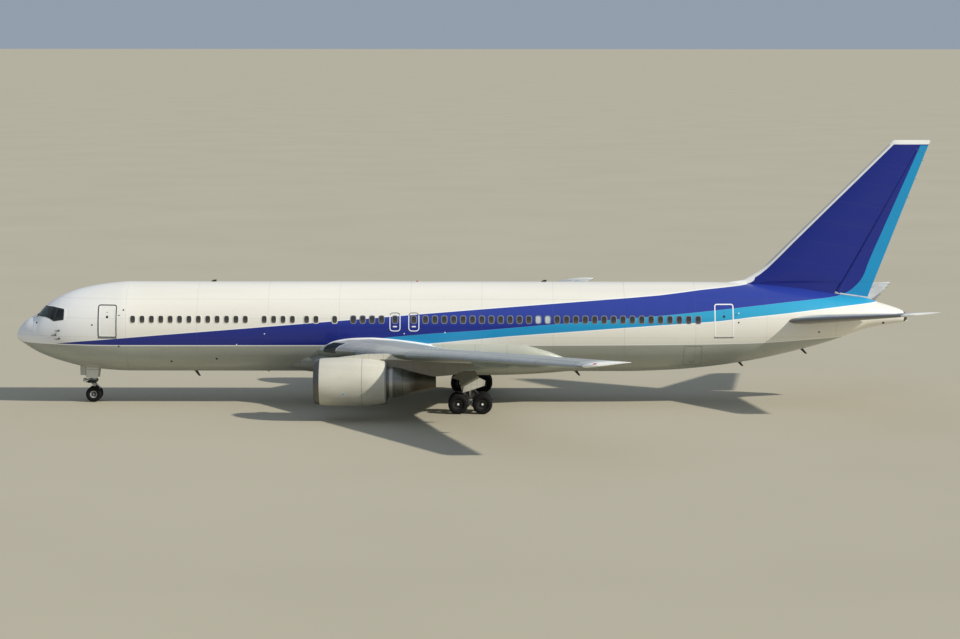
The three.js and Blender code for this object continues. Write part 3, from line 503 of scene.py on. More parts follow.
def piece(name, shapes, finish, body="airframe", stands_for=(), crease=32, closed=True):
    """One object from shapes: merged where points meet, faces outward, smooth except at creases."""
    bm = bmesh.new()
    mesh = bpy.data.meshes.new(name)
    points = np.concatenate([on_model(shape[0]) for shape in shapes])
    starts = np.cumsum([0] + [len(shape[0]) for shape in shapes])
    faces = [face for shape, start in zip(shapes, starts) for face in (shape[1] + start).tolist()]
    mesh.from_pydata(points, [], faces)
    bm.from_mesh(mesh)
    bmesh.ops.remove_doubles(bm, verts=bm.verts, dist=WELD_REACH)
    bmesh.ops.dissolve_degenerate(bm, edges=bm.edges, dist=FLAT_REACH)
    if closed:
        bmesh.ops.recalc_face_normals(bm, faces=bm.faces)
    bm.to_mesh(mesh)
    bm.free()
    mesh.shade_smooth()
    mesh.set_sharp_from_angle(angle=math.radians(crease))
    mesh.materials.append(finish.material)
    thing = bpy.data.objects.new(name, mesh)
    bpy.context.scene.collection.objects.link(thing)
    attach(thing, body)
    if stands_for:
        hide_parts(*stands_for)
    return thing


def smoothed(node, finish, body):
    """The frame's own surface of a node, welded and shaded smooth except at its real edges."""
    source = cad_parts[node].data
    points = np.empty(len(source.vertices) * 3)
    source.vertices.foreach_get("co", points)
    corners = np.empty(len(source.loops), int)
    source.loops.foreach_get("vertex_index", corners)
    real = points.reshape(-1, 3) / SCALE + (MIDDLE, 0, 0)
    shape = (real, corners.reshape(-1, 3))
    thing = piece(node + "_skin", [shape], finish, body, [node], crease=30)
    thing.modifiers.new("weights", "WEIGHTED_NORMAL").keep_sharp = True


# Fuselage: station, crown, keel, half width, height of the widest point

BODY = np.array([
    [0.0, 4.036, 4.034, 0.001, 4.035], [0.11, 4.39, 3.75, 0.42, 4.04], [0.3, 4.66, 3.63, 0.64, 4.06],
    [0.55, 4.92, 3.47, 0.84, 4.09], [0.85, 5.12, 3.27, 1.06, 4.12], [1.14, 5.23, 3.1, 1.24, 4.15],
    [1.31, 5.34, 3.01, 1.33, 4.17], [1.7, 5.75, 2.84, 1.53, 4.21], [2.18, 6.13, 2.65, 1.73, 4.26],
    [2.83, 6.5, 2.45, 1.96, 4.32], [3.6, 6.8, 2.24, 2.16, 4.39], [4.6, 7.04, 2.06, 2.33, 4.46],
    [5.8, 7.22, 1.94, 2.45, 4.54], [6.9, 7.3, 1.89, 2.515, 4.595], [36.6, 7.3, 1.89, 2.515, 4.595],
    [39.4, 7.3, 1.98, 2.505, 4.62], [41.5, 7.29, 2.16, 2.47, 4.7], [43.6, 7.26, 2.44, 2.39, 4.8],
    [45.0, 7.18, 2.69, 2.28, 4.9], [47.05, 6.97, 3.17, 2.04, 5.03], [49.1, 6.65, 3.74, 1.69, 5.17],
    [50.3, 6.48, 4.18, 1.42, 5.25], [51.3, 6.34, 4.52, 1.15, 5.33], [51.9, 6.12, 4.64, 0.97, 5.33],
    [52.7, 5.88, 4.77, 0.69, 5.3], [53.5, 5.56, 4.9, 0.38, 5.23], [53.67, 5.42, 4.96, 0.27, 5.19],
])
RADOME_JOINT, NOSE_JOINT, AFT_JOINT, CONE_JOINT, BODY_END = 1.14, 6.9, 36.6, 51.9, 53.67
BODY_COLUMNS = 96
JOINT_BEVEL = 0.006
BAY = {"start": 3.91, "end": 5.05, "half": 0.36, "ceiling": 2.6}
BAY_COLUMNS = 4


def body_section(station):
    """Crown, keel, half width and middle height at stations: smooth lines through the table, in
    the root of the station, which rounds the nose's tip."""
    knots = np.sqrt(BODY[:, 0])
    return [through(np.sqrt(station), knots, BODY[:, column]) for column in range(1, 5)]


def body_points(station, turn, grow=0.0):
    """Skin points at stations and angles from the keel: a half ellipse below the widest point
    and another above it."""
    crown, keel, half, middle = body_section(np.asarray(station, float))
    reach = np.where(np.cos(turn) > 0, middle - keel, crown - middle) + grow
    across = (half + grow) * np.sin(turn)
    return np.stack(np.broadcast_arrays(station, across, middle - reach * np.cos(turn)), -1)


def side_points(station, height, proud=0.0):
    """Points on the starboard skin at stations and heights, moved out along the skin's normal."""
    crown, keel, half, middle = body_section(station)
    reach = np.where(height > middle, crown - middle, middle - keel)
    lift = np.clip((height - middle) / reach, -0.999, 0.999)
    out = np.sqrt(1 - lift ** 2)
    normal = np.stack([0 * lift, out / half, lift / reach], -1)
    normal /= np.linalg.norm(normal, axis=-1, keepdims=True)
    base = np.stack(np.broadcast_arrays(station, half * out, height), -1)
    return base + normal * np.asarray(proud)[..., None]


def joint_rows(stations, start=True, end=True):
    """Stations and growths of a section's rows, with a fine bevel where it meets the next."""
    rows = [(station, 0.0) for station in stations]
    if start:
        rows = [(stations[0], -JOINT_BEVEL), (stations[0] + JOINT_BEVEL, 0.0), *rows[1:]]
    if end:
        rows = [*rows[:-1], (stations[-1] - JOINT_BEVEL, 0.0), (stations[-1], -JOINT_BEVEL)]
    return np.array(rows)[..., None].transpose(1, 0, 2)


def body_shell(stations, start=True, end=True):
    """One fuselage section: the skin's half ellipses at its stations, joined and closed."""
    station, grow = joint_rows(stations, start, end)
    return grid(body_points(station, ring(BODY_COLUMNS), grow), around=True, ends=True)


def nose_shell(stations):
    """The nose section: columns run along the wheel bay's two edges, and the bay is left open."""
    station, grow = joint_rows(stations)
    edge = np.arcsin(BAY["half"] / body_section(station)[2])
    inner = edge * np.linspace(-1, 1, BAY_COLUMNS + 1)[:-1]
    outer = edge + (2 * math.pi - 2 * edge) * np.linspace(0, 1, BODY_COLUMNS - BAY_COLUMNS + 1)[:-1]
    points, quads = grid(body_points(station, np.hstack([inner, outer]), grow), around=True, ends=True)
    centre = points[quads].mean(1)
    open_bay = (
        (centre[:, 0] > BAY["start"]) & (centre[:, 0] < BAY["end"])
        & (abs(centre[:, 1]) < BAY["half"]) & (centre[:, 2] < BAY["ceiling"])
    )
    return points, quads[~open_bay]


def bay_liner(stations):
    """Walls and ceiling of the nose wheel bay, from the skin's open edge up."""
    inside = stations[(stations >= BAY["start"]) & (stations <= BAY["end"])]
    half = BAY["half"]
    across = np.linspace(-half, half, BAY_COLUMNS + 1)
    starboard = np.column_stack([inside, np.full(len(inside), half)])
    port = starboard[::-1] * (1, -1)
    front = np.column_stack([np.full(len(across), BAY["start"]), across])[:-1]
    back = np.column_stack([np.full(len(across), BAY["end"]), across[::-1]])[:-1]
    path = np.concatenate([front, starboard[:-1], back, port[:-1]])
    _, keel, width, middle = body_section(path[:, 0])
    foot = middle - (middle - keel) * np.sqrt(1 - (path[:, 1] / width) ** 2)
    heights = np.stack([foot, foot * 0.5 + 1.3, np.full(len(path), BAY["ceiling"])])
    rows = np.concatenate([np.broadcast_to(path, (3, *path.shape)), heights[..., None]], -1)
    top = rows[-1:] * 1.0
    top[..., :2] = top[..., :2].mean(1, keepdims=True)
    return grid(np.concatenate([rows, top]), around=True)


def make_fuselage():
    """Five painted shells on the frame's fuselage solids, and the wheel bay's liner."""
    paint = fuselage_paint()
    radome = np.concatenate([[0.0], np.geomspace(0.002, RADOME_JOINT, 22)])
    nose = np.unique(np.round(np.concatenate([
        np.linspace(RADOME_JOINT, BAY["start"], 40), np.linspace(BAY["start"], BAY["end"], 9),
        np.linspace(BAY["end"], NOSE_JOINT, 14),
    ]), 5))
    sections = {
        "radome": body_shell(radome, start=False),
        "nose_fuselage": nose_shell(nose),
        "cabin_fuselage": body_shell(np.linspace(NOSE_JOINT, AFT_JOINT, 15)),
        "aft_fuselage": body_shell(np.linspace(AFT_JOINT, CONE_JOINT, 50)),
        "tail_cone": body_shell(np.linspace(CONE_JOINT, BODY_END, 16), end=False),
    }
    for node, shape in sections.items():
        closed = node != "nose_fuselage"
        piece(node + "_skin", [shape], paint, "airframe", [node], closed=closed)
    liner = piece("nose_wheel_bay", [bay_liner(nose)], primer(), closed=False)
    liner.modifiers.new("thickness", "SOLIDIFY").thickness = 0.006


def primer():
    """Pale green-grey primer of the wheel bays, blotched with hydraulic oil and dust."""
    finish = Finish("bay_primer", roughness=0.6)
    base = finish.worn(srgb(188, 192, 176), 0.7, (1, 1, 1), 7.0)
    ribs = finish.x.lines(BAY["start"], 0.19, 0.012).most(finish.z.lines(2.1, 0.17, 0.008))
    return finish.dressed(finish.mix(base, SEAM_GREY, ribs * 0.5), ribs, 0.004)


# Belly fairing: station, half width, keel, shoulder height

BELLY = np.array([
    [16.6, 1.5, 2.05, 2.9], [18.2, 2.35, 1.88, 3.35], [20.2, 2.66, 1.77, 3.8], [22.4, 2.69, 1.71, 4.15],
    [28.6, 2.69, 1.7, 4.3], [30.4, 2.64, 1.74, 4.25], [31.9, 2.45, 1.83, 3.8], [34.0, 1.6, 2.0, 2.9],
])
BELLY_FULLNESS = 0.8


def make_belly_fairing():
    """Boat-shaped fairing under the wing box: rounded boxes whose size follows the table."""
    station = np.linspace(BELLY[0, 0], BELLY[-1, 0], 70)[:, None]
    half, keel, shoulder = (through(station, BELLY[:, 0], BELLY[:, column]) for column in (1, 2, 3))
    middle = 0.55 * shoulder + 0.45 * keel
    angle = ring(80)
    soft = [np.sign(wave) * abs(wave) ** BELLY_FULLNESS for wave in (np.sin(angle), np.cos(angle))]
    reach = np.where(soft[1] > 0, shoulder - middle, middle - keel)
    points = np.stack(np.broadcast_arrays(station, half * soft[0], middle + reach * soft[1]), -1)
    shape = grid(points, around=True, ends=True)
    piece("belly_fairing_skin", [shape], fairing_paint(), "airframe", ["belly_fairing"])


make_fuselage()
make_belly_fairing()


# Wings and tail: the frame's surfaces with painted and bare metal skins. An edge is written as
# span and station of one point, and how many metres it runs aft a metre of span

WING_LEAD = (2.6, 19.26, 0.676)
WING_TRAIL = (8.0, 29.2, 0.4225)
TAIL_LEAD = (1.9, 46.21, 0.794)
FRONT_SPAR, REAR_SPAR = 0.14, 0.62
WING_TIP_PAINT, TAIL_TIP_PAINT = 23.35, 9.02
LAMP_SPAN, LAMP_FOOT = (2.5, 3.12), 3.3
SLAT_CORNER = 7.2
TAIL_BARE = 0.3

# Fin: its leading edge as (height, station), and the widths and limits of its trims
FIN_LEAD = [
    (6.5, 42.1), (7.22, 42.5), (7.33, 43.25), (7.44, 43.9), (7.97, 44.8), (8.37, 45.24),
    (9.7, 46.56), (15.5, 52.4), (15.74, 52.64), (15.85, 52.77),
]
FIN_PIPING, FIN_BARE = 0.27, 0.12
FIN_BARE_START, FIN_FOOT_END, FIN_CAP = 8.0, 44.7, 15.58
RUDDER_HINGE = np.array([(49.511, 6.69), (54.17, 15.25)])


def edge_station(edge, span):
    """Station of a wing's or tailplane's edge at a span."""
    start, station, sweep = edge
    return (span - start) * sweep + station


def wing_share(finish):
    """How far aft a point lies on its wing chord, 0 at the leading edge and 1 at the trailing one."""
    span = abs(finish.y)
    lead = edge_station(WING_LEAD, span)
    trail = edge_station(WING_TRAIL, span.most(WING_TRAIL[0]))
    return (finish.x - lead) / (trail - lead)


def wing_under(finish):
    """1 on a wing's lower skin: below a middle surface that rises along the span and twists."""
    span = abs(finish.y)
    behind = finish.x - edge_station(WING_LEAD, span)
    middle = 3.194 + span * (0.0871 - span * 0.00016) + behind * (span * 0.00666 - 0.0799)
    return finish.z.below(middle - 0.02, 0.03)


def wing_paint(name="wing_paint", base=WING_GREY, box=True):
    """Grey wing skin: a darker coated tank area between the spars, rib and spar joints, oval
    access panels along the middle, a lamp pane at the root, a darker grimy lower skin that is
    painted shade, and a white tip."""
    finish = Finish(name, roughness=0.42, coat=0.1)
    share, span = wing_share(finish), abs(finish.y)
    lead = share.below(FRONT_SPAR, 0.004) if box else share.below(-1.0)
    colour = finish.mix(finish.worn(base, 0.35, (1, 0.2, 1), 2.0), LEADING_METAL, lead)
    above = finish.z.above(LAMP_FOOT)
    lamp = span.within(*LAMP_SPAN) * (finish.x - (span - 2.4) * 1.198).below(19.17) * above
    colour = finish.mix(colour, srgb(48, 56, 54), lamp)
    colour = finish.mix(colour, PURE_WHITE, span.line(LAMP_SPAN[1] + 0.03, 0.03) * lead * above)
    finish.set("Metallic", lead * (1 - lamp) * 0.35)
    joints = span.lines(0.9, 1.55, 0.008).most(share.lines(FRONT_SPAR, 0.24, 0.0012, 0.0012))
    if box:
        tank = share.within(FRONT_SPAR, REAR_SPAR, 0.003) * span.within(2.7, 22.6)
        coated = finish.worn(PANEL_GREY, 0.3, (1, 0.3, 1), 8.0)
        colour = finish.mix(colour, coated, tank * 0.75)
        across = (span - 0.45).math("PINGPONG", 0.39) - 0.195
        oval = ((share - 0.36) * 26).math("POWER", 2.0) + (across * 7.4).math("POWER", 2.0)
        joints = joints.most(oval.line(1.0, 0.12, 0.1) * tank * 0.8)
    # Painted shade: the lower skin is a darker grey, with grime clouds on it
    grimy_shaded_underside = finish.worn(UNDERSIDE_SHADE_GREY, 0.3, (1, 0.2, 1), 5.0)
    colour = finish.mix(colour, grimy_shaded_underside, wing_under(finish) * (1 - lamp))
    colour = finish.mix(colour, PURE_WHITE, span.above(WING_TIP_PAINT))
    finish.set("Base Color", finish.mix(colour, SEAM_GREY, joints * 0.45))
    rough = 0.34 + finish.noise(1.3, 4.0, (1, 0.3, 1)) * 0.2
    finish.set("Roughness", rough * (1 - lamp * 0.7))
    finish.bump(finish.noise(1.0, 2.0, (1, 0.4, 1)) * 0.4 - joints, 0.0015)
    return finish


def slat_metal():
    """Bare aluminium leading edge, brushed along the span, dulled where rain has worn it. Its lower half is
    painted a bluish grey as painted shade.
    """
    finish = Finish("slat_metal", metallic=0.35, roughness=0.4)
    brushed = finish.noise(2.0, 3.0, (2, 0.25, 2), 4.0)
    joints = abs(finish.y).lines(8.5, 2.84, 0.012)
    colour = finish.mix(srgb(186, 189, 188), LEADING_METAL, brushed)
    # Painted shade: the lower half of the leading edge is a bluish grey
    colour = finish.mix(colour, srgb(164, 177, 190), wing_under(finish))
    colour = finish.mix(colour, PURE_WHITE, abs(finish.y).line(SLAT_CORNER, 0.06))
    finish.set("Roughness", 0.34 + brushed * 0.2)
    return finish.dressed(finish.mix(colour, SEAM_GREY, joints * 0.8), brushed * 0.3 - joints, 0.001)


def fin_paint(name, rudder):
    """Dark blue fin with a bare strip and white piping along its leading edge and a white cap;
    the rudder carries the light blue band, and its joints run parallel to its hinge."""
    finish = Finish(name, roughness=0.3, coat=0.15)
    x, z = finish.x, finish.z
    light = z.below(finish.along(x, BLUE_FOOT)) * x.above(LIGHT_START)
    colour = finish.mix(DARK_BLUE, LIGHT_BLUE, light)
    if not rudder:
        behind = x - finish.along(z, FIN_LEAD)
        bare = behind.below(FIN_BARE) * ((z - FIN_BARE_START) * 2).clip()
        foot = z.above(finish.along(x, BLUE_TOP[-5:])) * x.below(FIN_FOOT_END)
        colour = finish.mix(colour, PURE_WHITE, behind.below(FIN_PIPING))
        colour = finish.mix(colour, BARE_METAL, bare)
        colour = finish.mix(colour, PURE_WHITE, foot)
    colour = finish.worn(finish.mix(colour, PURE_WHITE, z.above(FIN_CAP)), 0.1)
    ribs = (z + x * 0.16).lines(0.3, 1.32, 0.008)
    finish.set("Roughness", 0.27 + finish.noise(1.4, 3.0) * 0.14)
    colour = finish.mix(colour, SEAM_GREY, ribs * 0.22)
    return finish.dressed(colour, finish.noise(1.2, 2.0) * 0.3 - ribs, 0.0015)


def tailplane_paint(name, base):
    """Brown-grey tailplane, painted paler on its upper skin as painted sunlight, with a bare leading edge,
    rib joints and a white tip.
    """
    finish = Finish(name, roughness=0.45, coat=0.05)
    span = abs(finish.y)
    behind = finish.x - edge_station(TAIL_LEAD, span)
    # Painted sunlight: the upper skin is a paler grey than the lower
    upper = (finish.z - (span - TAIL_LEAD[0]) * 0.15 - behind * 0.07).above(5.16)
    colour = finish.worn(finish.mix(base, srgb(214, 216, 212), upper), 0.5, (1, 0.3, 1), 6.0)
    colour = finish.mix(colour, srgb(120, 118, 114), behind.below(TAIL_BARE))
    colour = finish.mix(colour, PURE_WHITE, span.above(TAIL_TIP_PAINT))
    joints = span.lines(0.4, 1.2, 0.008).most(behind.line(TAIL_BARE, 0.01))
    colour = finish.mix(colour, SEAM_GREY, joints * 0.45)
    return finish.dressed(colour, finish.noise(1.5, 2.0) * 0.3 - joints, 0.0015)


def rudder_seal():
    """Thin seal in the slot above the rudder, square to its hinge."""
    foot, head = RUDDER_HINGE
    along = (head - foot) / np.linalg.norm(head - foot)
    aft = np.array([along[1], -along[0]])
    shifts = [(0.004, 0.0), (0.004, 0.5), (0.023, 0.5), (0.023, 0.0)]
    return slab([head + lift * along + back * aft for lift, back in shifts], -0.005, 0.005)


def make_wings_and_tail():
    """Every moving and fixed surface of the wings and tail in its own finish."""
    wing = wing_paint()
    mover = wing_paint("mover_paint", srgb(176, 180, 183), box=False)
    slat = slat_metal()
    tailplane = tailplane_paint("tailplane_paint", srgb(150, 148, 142))
    for side in SIDES:
        smoothed(f"wing_{side}", wing, "airframe")
        smoothed(f"pylon_{side}", pylon_paint(side), "airframe")
        for names, finish, slot in (
            (("slat_inboard", "slat_outboard"), slat, "bare_metal"),
            (("flap_inboard", "flap_outboard", "aileron_inboard", "aileron_outboard", "spoiler"),
             mover, "grey_paint"),
            (("elevator",), tailplane, "grey_paint"),
        ):
            for name in names:
                smoothed(f"{name}_{side}", finish, f"{name}_{side}")
    smoothed("stabiliser", tailplane, "stabiliser")
    fin = fin_paint("fin_paint", False)
    smoothed("fin", fin, "airframe")
    piece("rudder_head_seal", [rudder_seal()], fin, "airframe")
    smoothed("rudder", fin_paint("rudder_paint", True), "rudder")


# Engines: profiles as (station, radius)

ENGINE_Y, ENGINE_Z = 7.92, 2.25
FAN_STATION, FAN_RADIUS, HUB_RADIUS, BLADES = 19.8, 1.165, 0.38, 38
COWL = [
    (22.69, 1.18), (22.0, 1.198), (20.7, 1.212), (19.5, 1.195), (18.95, 1.14), (18.68, 1.128),
    (18.56, 1.155), (18.51, 1.205), (18.545, 1.262), (18.69, 1.312), (19.0, 1.352), (19.7, 1.395),
    (20.6, 1.404), (21.4, 1.384), (22.2, 1.292), (22.69, 1.205),
]
CORE_COWL = [(20.35, 0.62), (20.8, 0.8), (21.9, 0.89), (23.0, 0.905), (23.5, 0.83), (24.07, 0.66)]
NOZZLE = [(24.07, 0.64), (24.5, 0.56), (25.0, 0.46), (25.49, 0.345)]
NOZZLE_INSIDE = [
    (25.49, 0.325), (25.3, 0.33), (24.94, 0.36), (24.94, 0.2), (25.3, 0.13), (25.44, 0.06), (25.47, 0.0),
]
SPINNER = [(19.18, 0.0), (19.2, 0.07), (19.4, 0.22), (19.62, 0.34), (19.98, 0.38)]
STRAKE = [(19.3, 0.0), (19.9, 0.26), (20.15, 0.26), (20.2, 0.0)]
STRAKE_RADIUS, STRAKE_TURN = 1.375, math.radians(48)
VANES, VANE_STATION, VANE_RADII = 44, 20.62, (0.58, 0.9, 1.2)
LIP_END, COWL_JOINT, DUCT_END = 18.84, 21.28, 22.69
NOZZLE_RING = DUCT_END - 0.1
COWL_MARK = (20.22, 1.69)


def smooth_profile(points, count):
    """Rows of a profile, closer together, on a smooth curve through the table's rows."""
    points = np.asarray(points, float)
    run = np.concatenate([[0], np.cumsum(np.linalg.norm(np.diff(points, axis=0), axis=1))])
    at = np.unique(np.concatenate([np.linspace(0, run[-1], count), run]))
    return np.column_stack([through(at, run, points[:, axis]) for axis in (0, 1)])


def engine_radius(finish, side):
    """Distance of a point from the engine's centre line."""
    across, up = finish.y - SIDES[side] * ENGINE_Y, finish.z - ENGINE_Z
    return (across * across + up * up).math("SQRT"), across, up


def nacelle_paint(side):
    """Cream cowl with a dull metal intake lip, a dark sound-damping liner inside, latch joints
    and the seam of the reverser sleeve, and a grey ring at the nozzle."""
    finish = Finish(f"nacelle_paint_{side}", roughness=0.35, coat=0.2)
    radius, across, up = engine_radius(finish, side)
    x = finish.x
    colour = finish.worn(COWL_CREAM, 0.4, (0.25, 1, 1), 4.0)
    stain = (up * -0.7).clip() * finish.noise(0.7, 3.0, (0.15, 1, 1), 9.0)
    colour = finish.mix(colour, GRIME, stain * 0.35)
    joints = x.line(COWL_JOINT, 0.016).most(x.line(NOZZLE_RING, 0.01))
    joints = joints.most(abs(across).line(0.0, 0.012) * up.below(0.0) * x.above(19.0))
    colour = finish.mix(colour, SEAM_GREY, joints * 0.6)
    inside = radius.below(1.2 + (x - 18.95).clip() * 0.012) * x.above(18.62)
    holes = (x * 60).math("SINE") * ((across * 60).math("SINE") + (up * 60).math("SINE")) * 0.25 + 0.5
    liner = finish.mix(srgb(84, 86, 88), srgb(40, 42, 44), holes.clip())
    colour = finish.mix(colour, liner, inside * x.above(LIP_END))
    ahead, height = x - COWL_MARK[0], finish.z - COWL_MARK[1]
    mark = (ahead * ahead + height * height).math("SQRT")
    outer = (across * SIDES[side]).above(0.8)
    colour = finish.mix(colour, srgb(206, 218, 222), mark.below(0.1) * outer)
    colour = finish.mix(colour, srgb(86, 150, 182), mark.below(0.055) * outer)
    lip = x.below(LIP_END)
    colour = finish.mix(colour, srgb(104, 104, 101), lip)
    ring_share = x.above(NOZZLE_RING) * 0.6
    finish.set("Base Color", finish.mix(colour, srgb(130, 128, 122), ring_share))
    finish.set("Metallic", lip * 0.9)
    finish.set("Roughness", 0.3 + finish.noise(2.0, 3.0) * 0.15 + inside * 0.2)
    finish.bump(finish.noise(1.6, 2.0) * 0.3 - joints, 0.0015)
    return finish


def core_metal(side):
    """Core cowl and nozzle: titanium ahead, darker and browner aft, with a bright band, streaks
    along the flow and joints round it."""
    finish = Finish(f"core_metal_{side}", metallic=0.9, roughness=0.38)
    x = finish.x
    streaks = finish.noise(2.5, 5.0, (0.12, 2, 2), 1.0)
    ahead = finish.mix(srgb(108, 108, 101), srgb(168, 167, 158), streaks)
    aft = finish.mix(srgb(66, 62, 52), srgb(108, 102, 88), streaks)
    colour = finish.mix(ahead, aft, ((x - 23.7) * 1.6).clip())
    colour = finish.mix(colour, srgb(205, 200, 190), x.within(22.84, 23.02))
    joints = x.lines(NOZZLE[0][0], 0.47, 0.009)
    finish.set("Roughness", 0.3 + streaks * 0.25)
    colour = finish.mix(colour, srgb(60, 54, 48), joints * 0.6)
    return finish.dressed(colour, streaks * 0.3 - joints, 0.001)


def pylon_paint(side):
    """Cream above the nacelle, bare and heat-stained behind and below, with panel joints."""
    finish = Finish(f"pylon_paint_{side}", roughness=0.4, coat=0.1)
    x, z = finish.x, finish.z
    bare = (z - 3.56 + (x - 22.8) * 0.05).below(0.0, 0.02) * x.above(22.3)
    colour = finish.worn(COWL_CREAM, 0.4, (0.3, 1, 1), 2.0)
    stained = finish.mix(srgb(112, 106, 92), srgb(150, 146, 134), finish.noise(1.3, 4.0, (0.3, 1, 1)))
    joints = x.lines(19.9, 0.86, 0.009).most(z.line(3.25, 0.008))
    colour = finish.mix(colour, stained, bare)
    colour = finish.mix(colour, SEAM_GREY, joints * 0.5)
    return finish.dressed(colour, finish.noise(2.0, 2.0) * 0.3 - joints, 0.0015)


def fan_finish(side):
    """Titanium blades, and a dark spinner with a white comma that shows when the fan turns."""
    finish = Finish(f"fan_metal_{side}", metallic=0.85, roughness=0.34)
    radius, across, up = engine_radius(finish, side)
    blade = finish.mix(srgb(96, 98, 102), srgb(150, 152, 156), finish.noise(6.0, 3.0))
    angle = across.math("ARCTAN2", up) / math.tau
    comma = (angle - radius * 2.6 + 0.4).math("FRACT").within(0.42, 0.58, 0.02)
    comma = comma * radius.within(0.05, 0.3)
    cap = finish.mix(srgb(46, 48, 52), PURE_WHITE, comma)
    spinner = radius.below(HUB_RADIUS - 0.01) * finish.x.below(FAN_STATION - 0.05)
    finish.set("Base Color", finish.mix(blade, cap, spinner))
    finish.set("Metallic", 0.85 * (1 - spinner))
    return finish


def fan_blades():
    """Blades as thin twisted lenses: the chord turns from steep at the hub to flat at the tip."""
    span = np.linspace(0, 1, 9)[None, :, None]
    around = ring(12)[None, None, :]
    turn = ring(BLADES)[:, None, None]
    radius = HUB_RADIUS - 0.06 + span * (FAN_RADIUS - HUB_RADIUS + 0.06)
    twist = np.radians(25 + 40 * span ** 0.8)
    chord = (0.115 + 0.03 * span) * np.cos(around)
    thick = (0.018 - 0.012 * span) * np.sin(around) + 0.02 * np.cos(around) ** 2 * (1 - span)
    along = chord * np.cos(twist) - thick * np.sin(twist)
    aside = chord * np.sin(twist) + thick * np.cos(twist)
    y = radius * np.sin(turn) + aside * np.cos(turn)
    z = radius * np.cos(turn) - aside * np.sin(turn)
    points = np.stack(np.broadcast_arrays(along, y, z), -1)
    reach = np.linalg.norm(points[..., 1:], axis=-1, keepdims=True)
    points[..., 1:] *= np.minimum(1, FAN_RADIUS / reach)
    return grid(points + (FAN_STATION, ENGINE_Y, ENGINE_Z), around=True, ends=True)


def strake():
    """Thin fin on the cowl's shoulder, square to its skin."""
    points, quads = slab(STRAKE, -0.01, 0.01)
    cos, sin = math.cos(STRAKE_TURN), math.sin(STRAKE_TURN)
    turn = np.array([[1, 0, 0], [0, cos, sin], [0, -sin, cos]])
    return (points + (0, 0, STRAKE_RADIUS)) @ turn + (0, ENGINE_Y, ENGINE_Z), quads


def make_engines():
    """Nacelles, cores and fans as smooth turned shapes on the frame's, with 38 fan blades."""
    centre = (0, ENGINE_Y, ENGINE_Z)
    cowl = closed_turned(smooth_profile(COWL, 110), centre, sides=128)
    front = CORE_COWL[0][0]
    outside = [*smooth_profile(CORE_COWL, 26), *smooth_profile(NOZZLE, 14)]
    core = turned([(front, 0.0), (front, 0.6), *outside, *NOZZLE_INSIDE], centre, sides=96)
    spinner = turned([*smooth_profile(SPINNER, 18), (SPINNER[-1][0], 0.0)], centre, sides=64)
    rotor = (spinner, fan_blades())
    for side in SIDES:
        for name, shapes, finish, body, slot, stands_for in (
            (f"nacelle_{side}_cowl", [cowl], nacelle_paint(side), "airframe", "white_paint", "nacelle"),
            (f"engine_core_{side}_cowl", [core], core_metal(side), "airframe", "hot_metal", "engine_core"),
            (f"guide_vanes_{side}", [guide_vanes()], dark_metal(), "airframe", "hot_metal", None),
            (f"fan_{side}_rotor", rotor, fan_finish(side), f"fan_{side}", "fan_metal", "fan"),
            (f"nacelle_strake_{side}", [strake()], cowl_trim(), "airframe", "white_paint", None),
        ):
            nodes = [f"{stands_for}_{side}"] if stands_for else []
            piece(name, [on_side(shape, side) for shape in shapes], finish, body, nodes)


def guide_vanes():
    """Flat vanes from the core to the duct wall behind the fan."""
    turn = ring(VANES)[:, None, None]
    span = np.array(VANE_RADII)[None, :, None]
    corner = np.array([[-0.16, -0.01], [-0.16, 0.01], [0.16, 0.03], [0.16, 0.01]])
    along, aside = corner[:, 0] + VANE_STATION, corner[:, 1]
    y = span * np.sin(turn) + aside * np.cos(turn)
    z = span * np.cos(turn) - aside * np.sin(turn)
    points = np.stack(np.broadcast_arrays(along, y, z), -1) + (0, ENGINE_Y, ENGINE_Z)
    return grid(points, around=True, ends=True)


def mottled(name, dark, light, scale, detail=3.0, distance=0.001, bumps=None, **shader):
    """Finish that wanders between two colours, with bumps of the same grain or of a finer one."""
    finish = Finish(name, **shader)
    grain = finish.noise(scale, detail)
    return finish.dressed(finish.mix(dark, light, grain), finish.noise(bumps) if bumps else grain, distance)


def dark_metal():
    """Dark grey metal of vanes, brakes, steering cylinders and probes."""
    return mottled("dark_metal", srgb(42, 43, 45), srgb(74, 75, 78), 5.0, metallic=0.6, roughness=0.5)


def chrome():
    """Polished pistons of the legs."""
    return mottled("oleo_chrome", srgb(206, 208, 212), srgb(168, 170, 174), 3.0, distance=0.0002, bumps=30.0,
                   metallic=1.0, roughness=0.12)


def hose_rubber():
    """Braided rubber of the brake pipes."""
    return mottled("hose_rubber", srgb(26, 26, 28), srgb(58, 56, 54), 40.0, 2.0, 0.0006, roughness=0.6)


def cowl_trim():
    """The cowl's cream on its strakes."""
    finish = Finish("cowl_trim", roughness=0.38, coat=0.2)
    return finish.dressed(finish.worn(COWL_CREAM, 0.4, (0.3, 1, 1), 1.0), finish.noise(6.0), 0.0008)


make_wings_and_tail()
make_engines()


# Landing gear

MAIN_GEAR = {"x": 27.44, "y": 4.65, "spacing": 1.42, "twin": 1.14}
MAIN_TYRE = {"radius": 0.585, "width": 0.46, "rim": 0.27}
NOSE_GEAR = {"x": 4.62, "twin": 0.61}
NOSE_TYRE = {"radius": 0.47, "width": 0.356, "rim": 0.205}
TREAD_GROOVES = (-0.45, -0.15, 0.15, 0.45)
DOOR_LEAF_OUTSIDE = 5.125
NOSE_DOOR_JOINT = 4.17

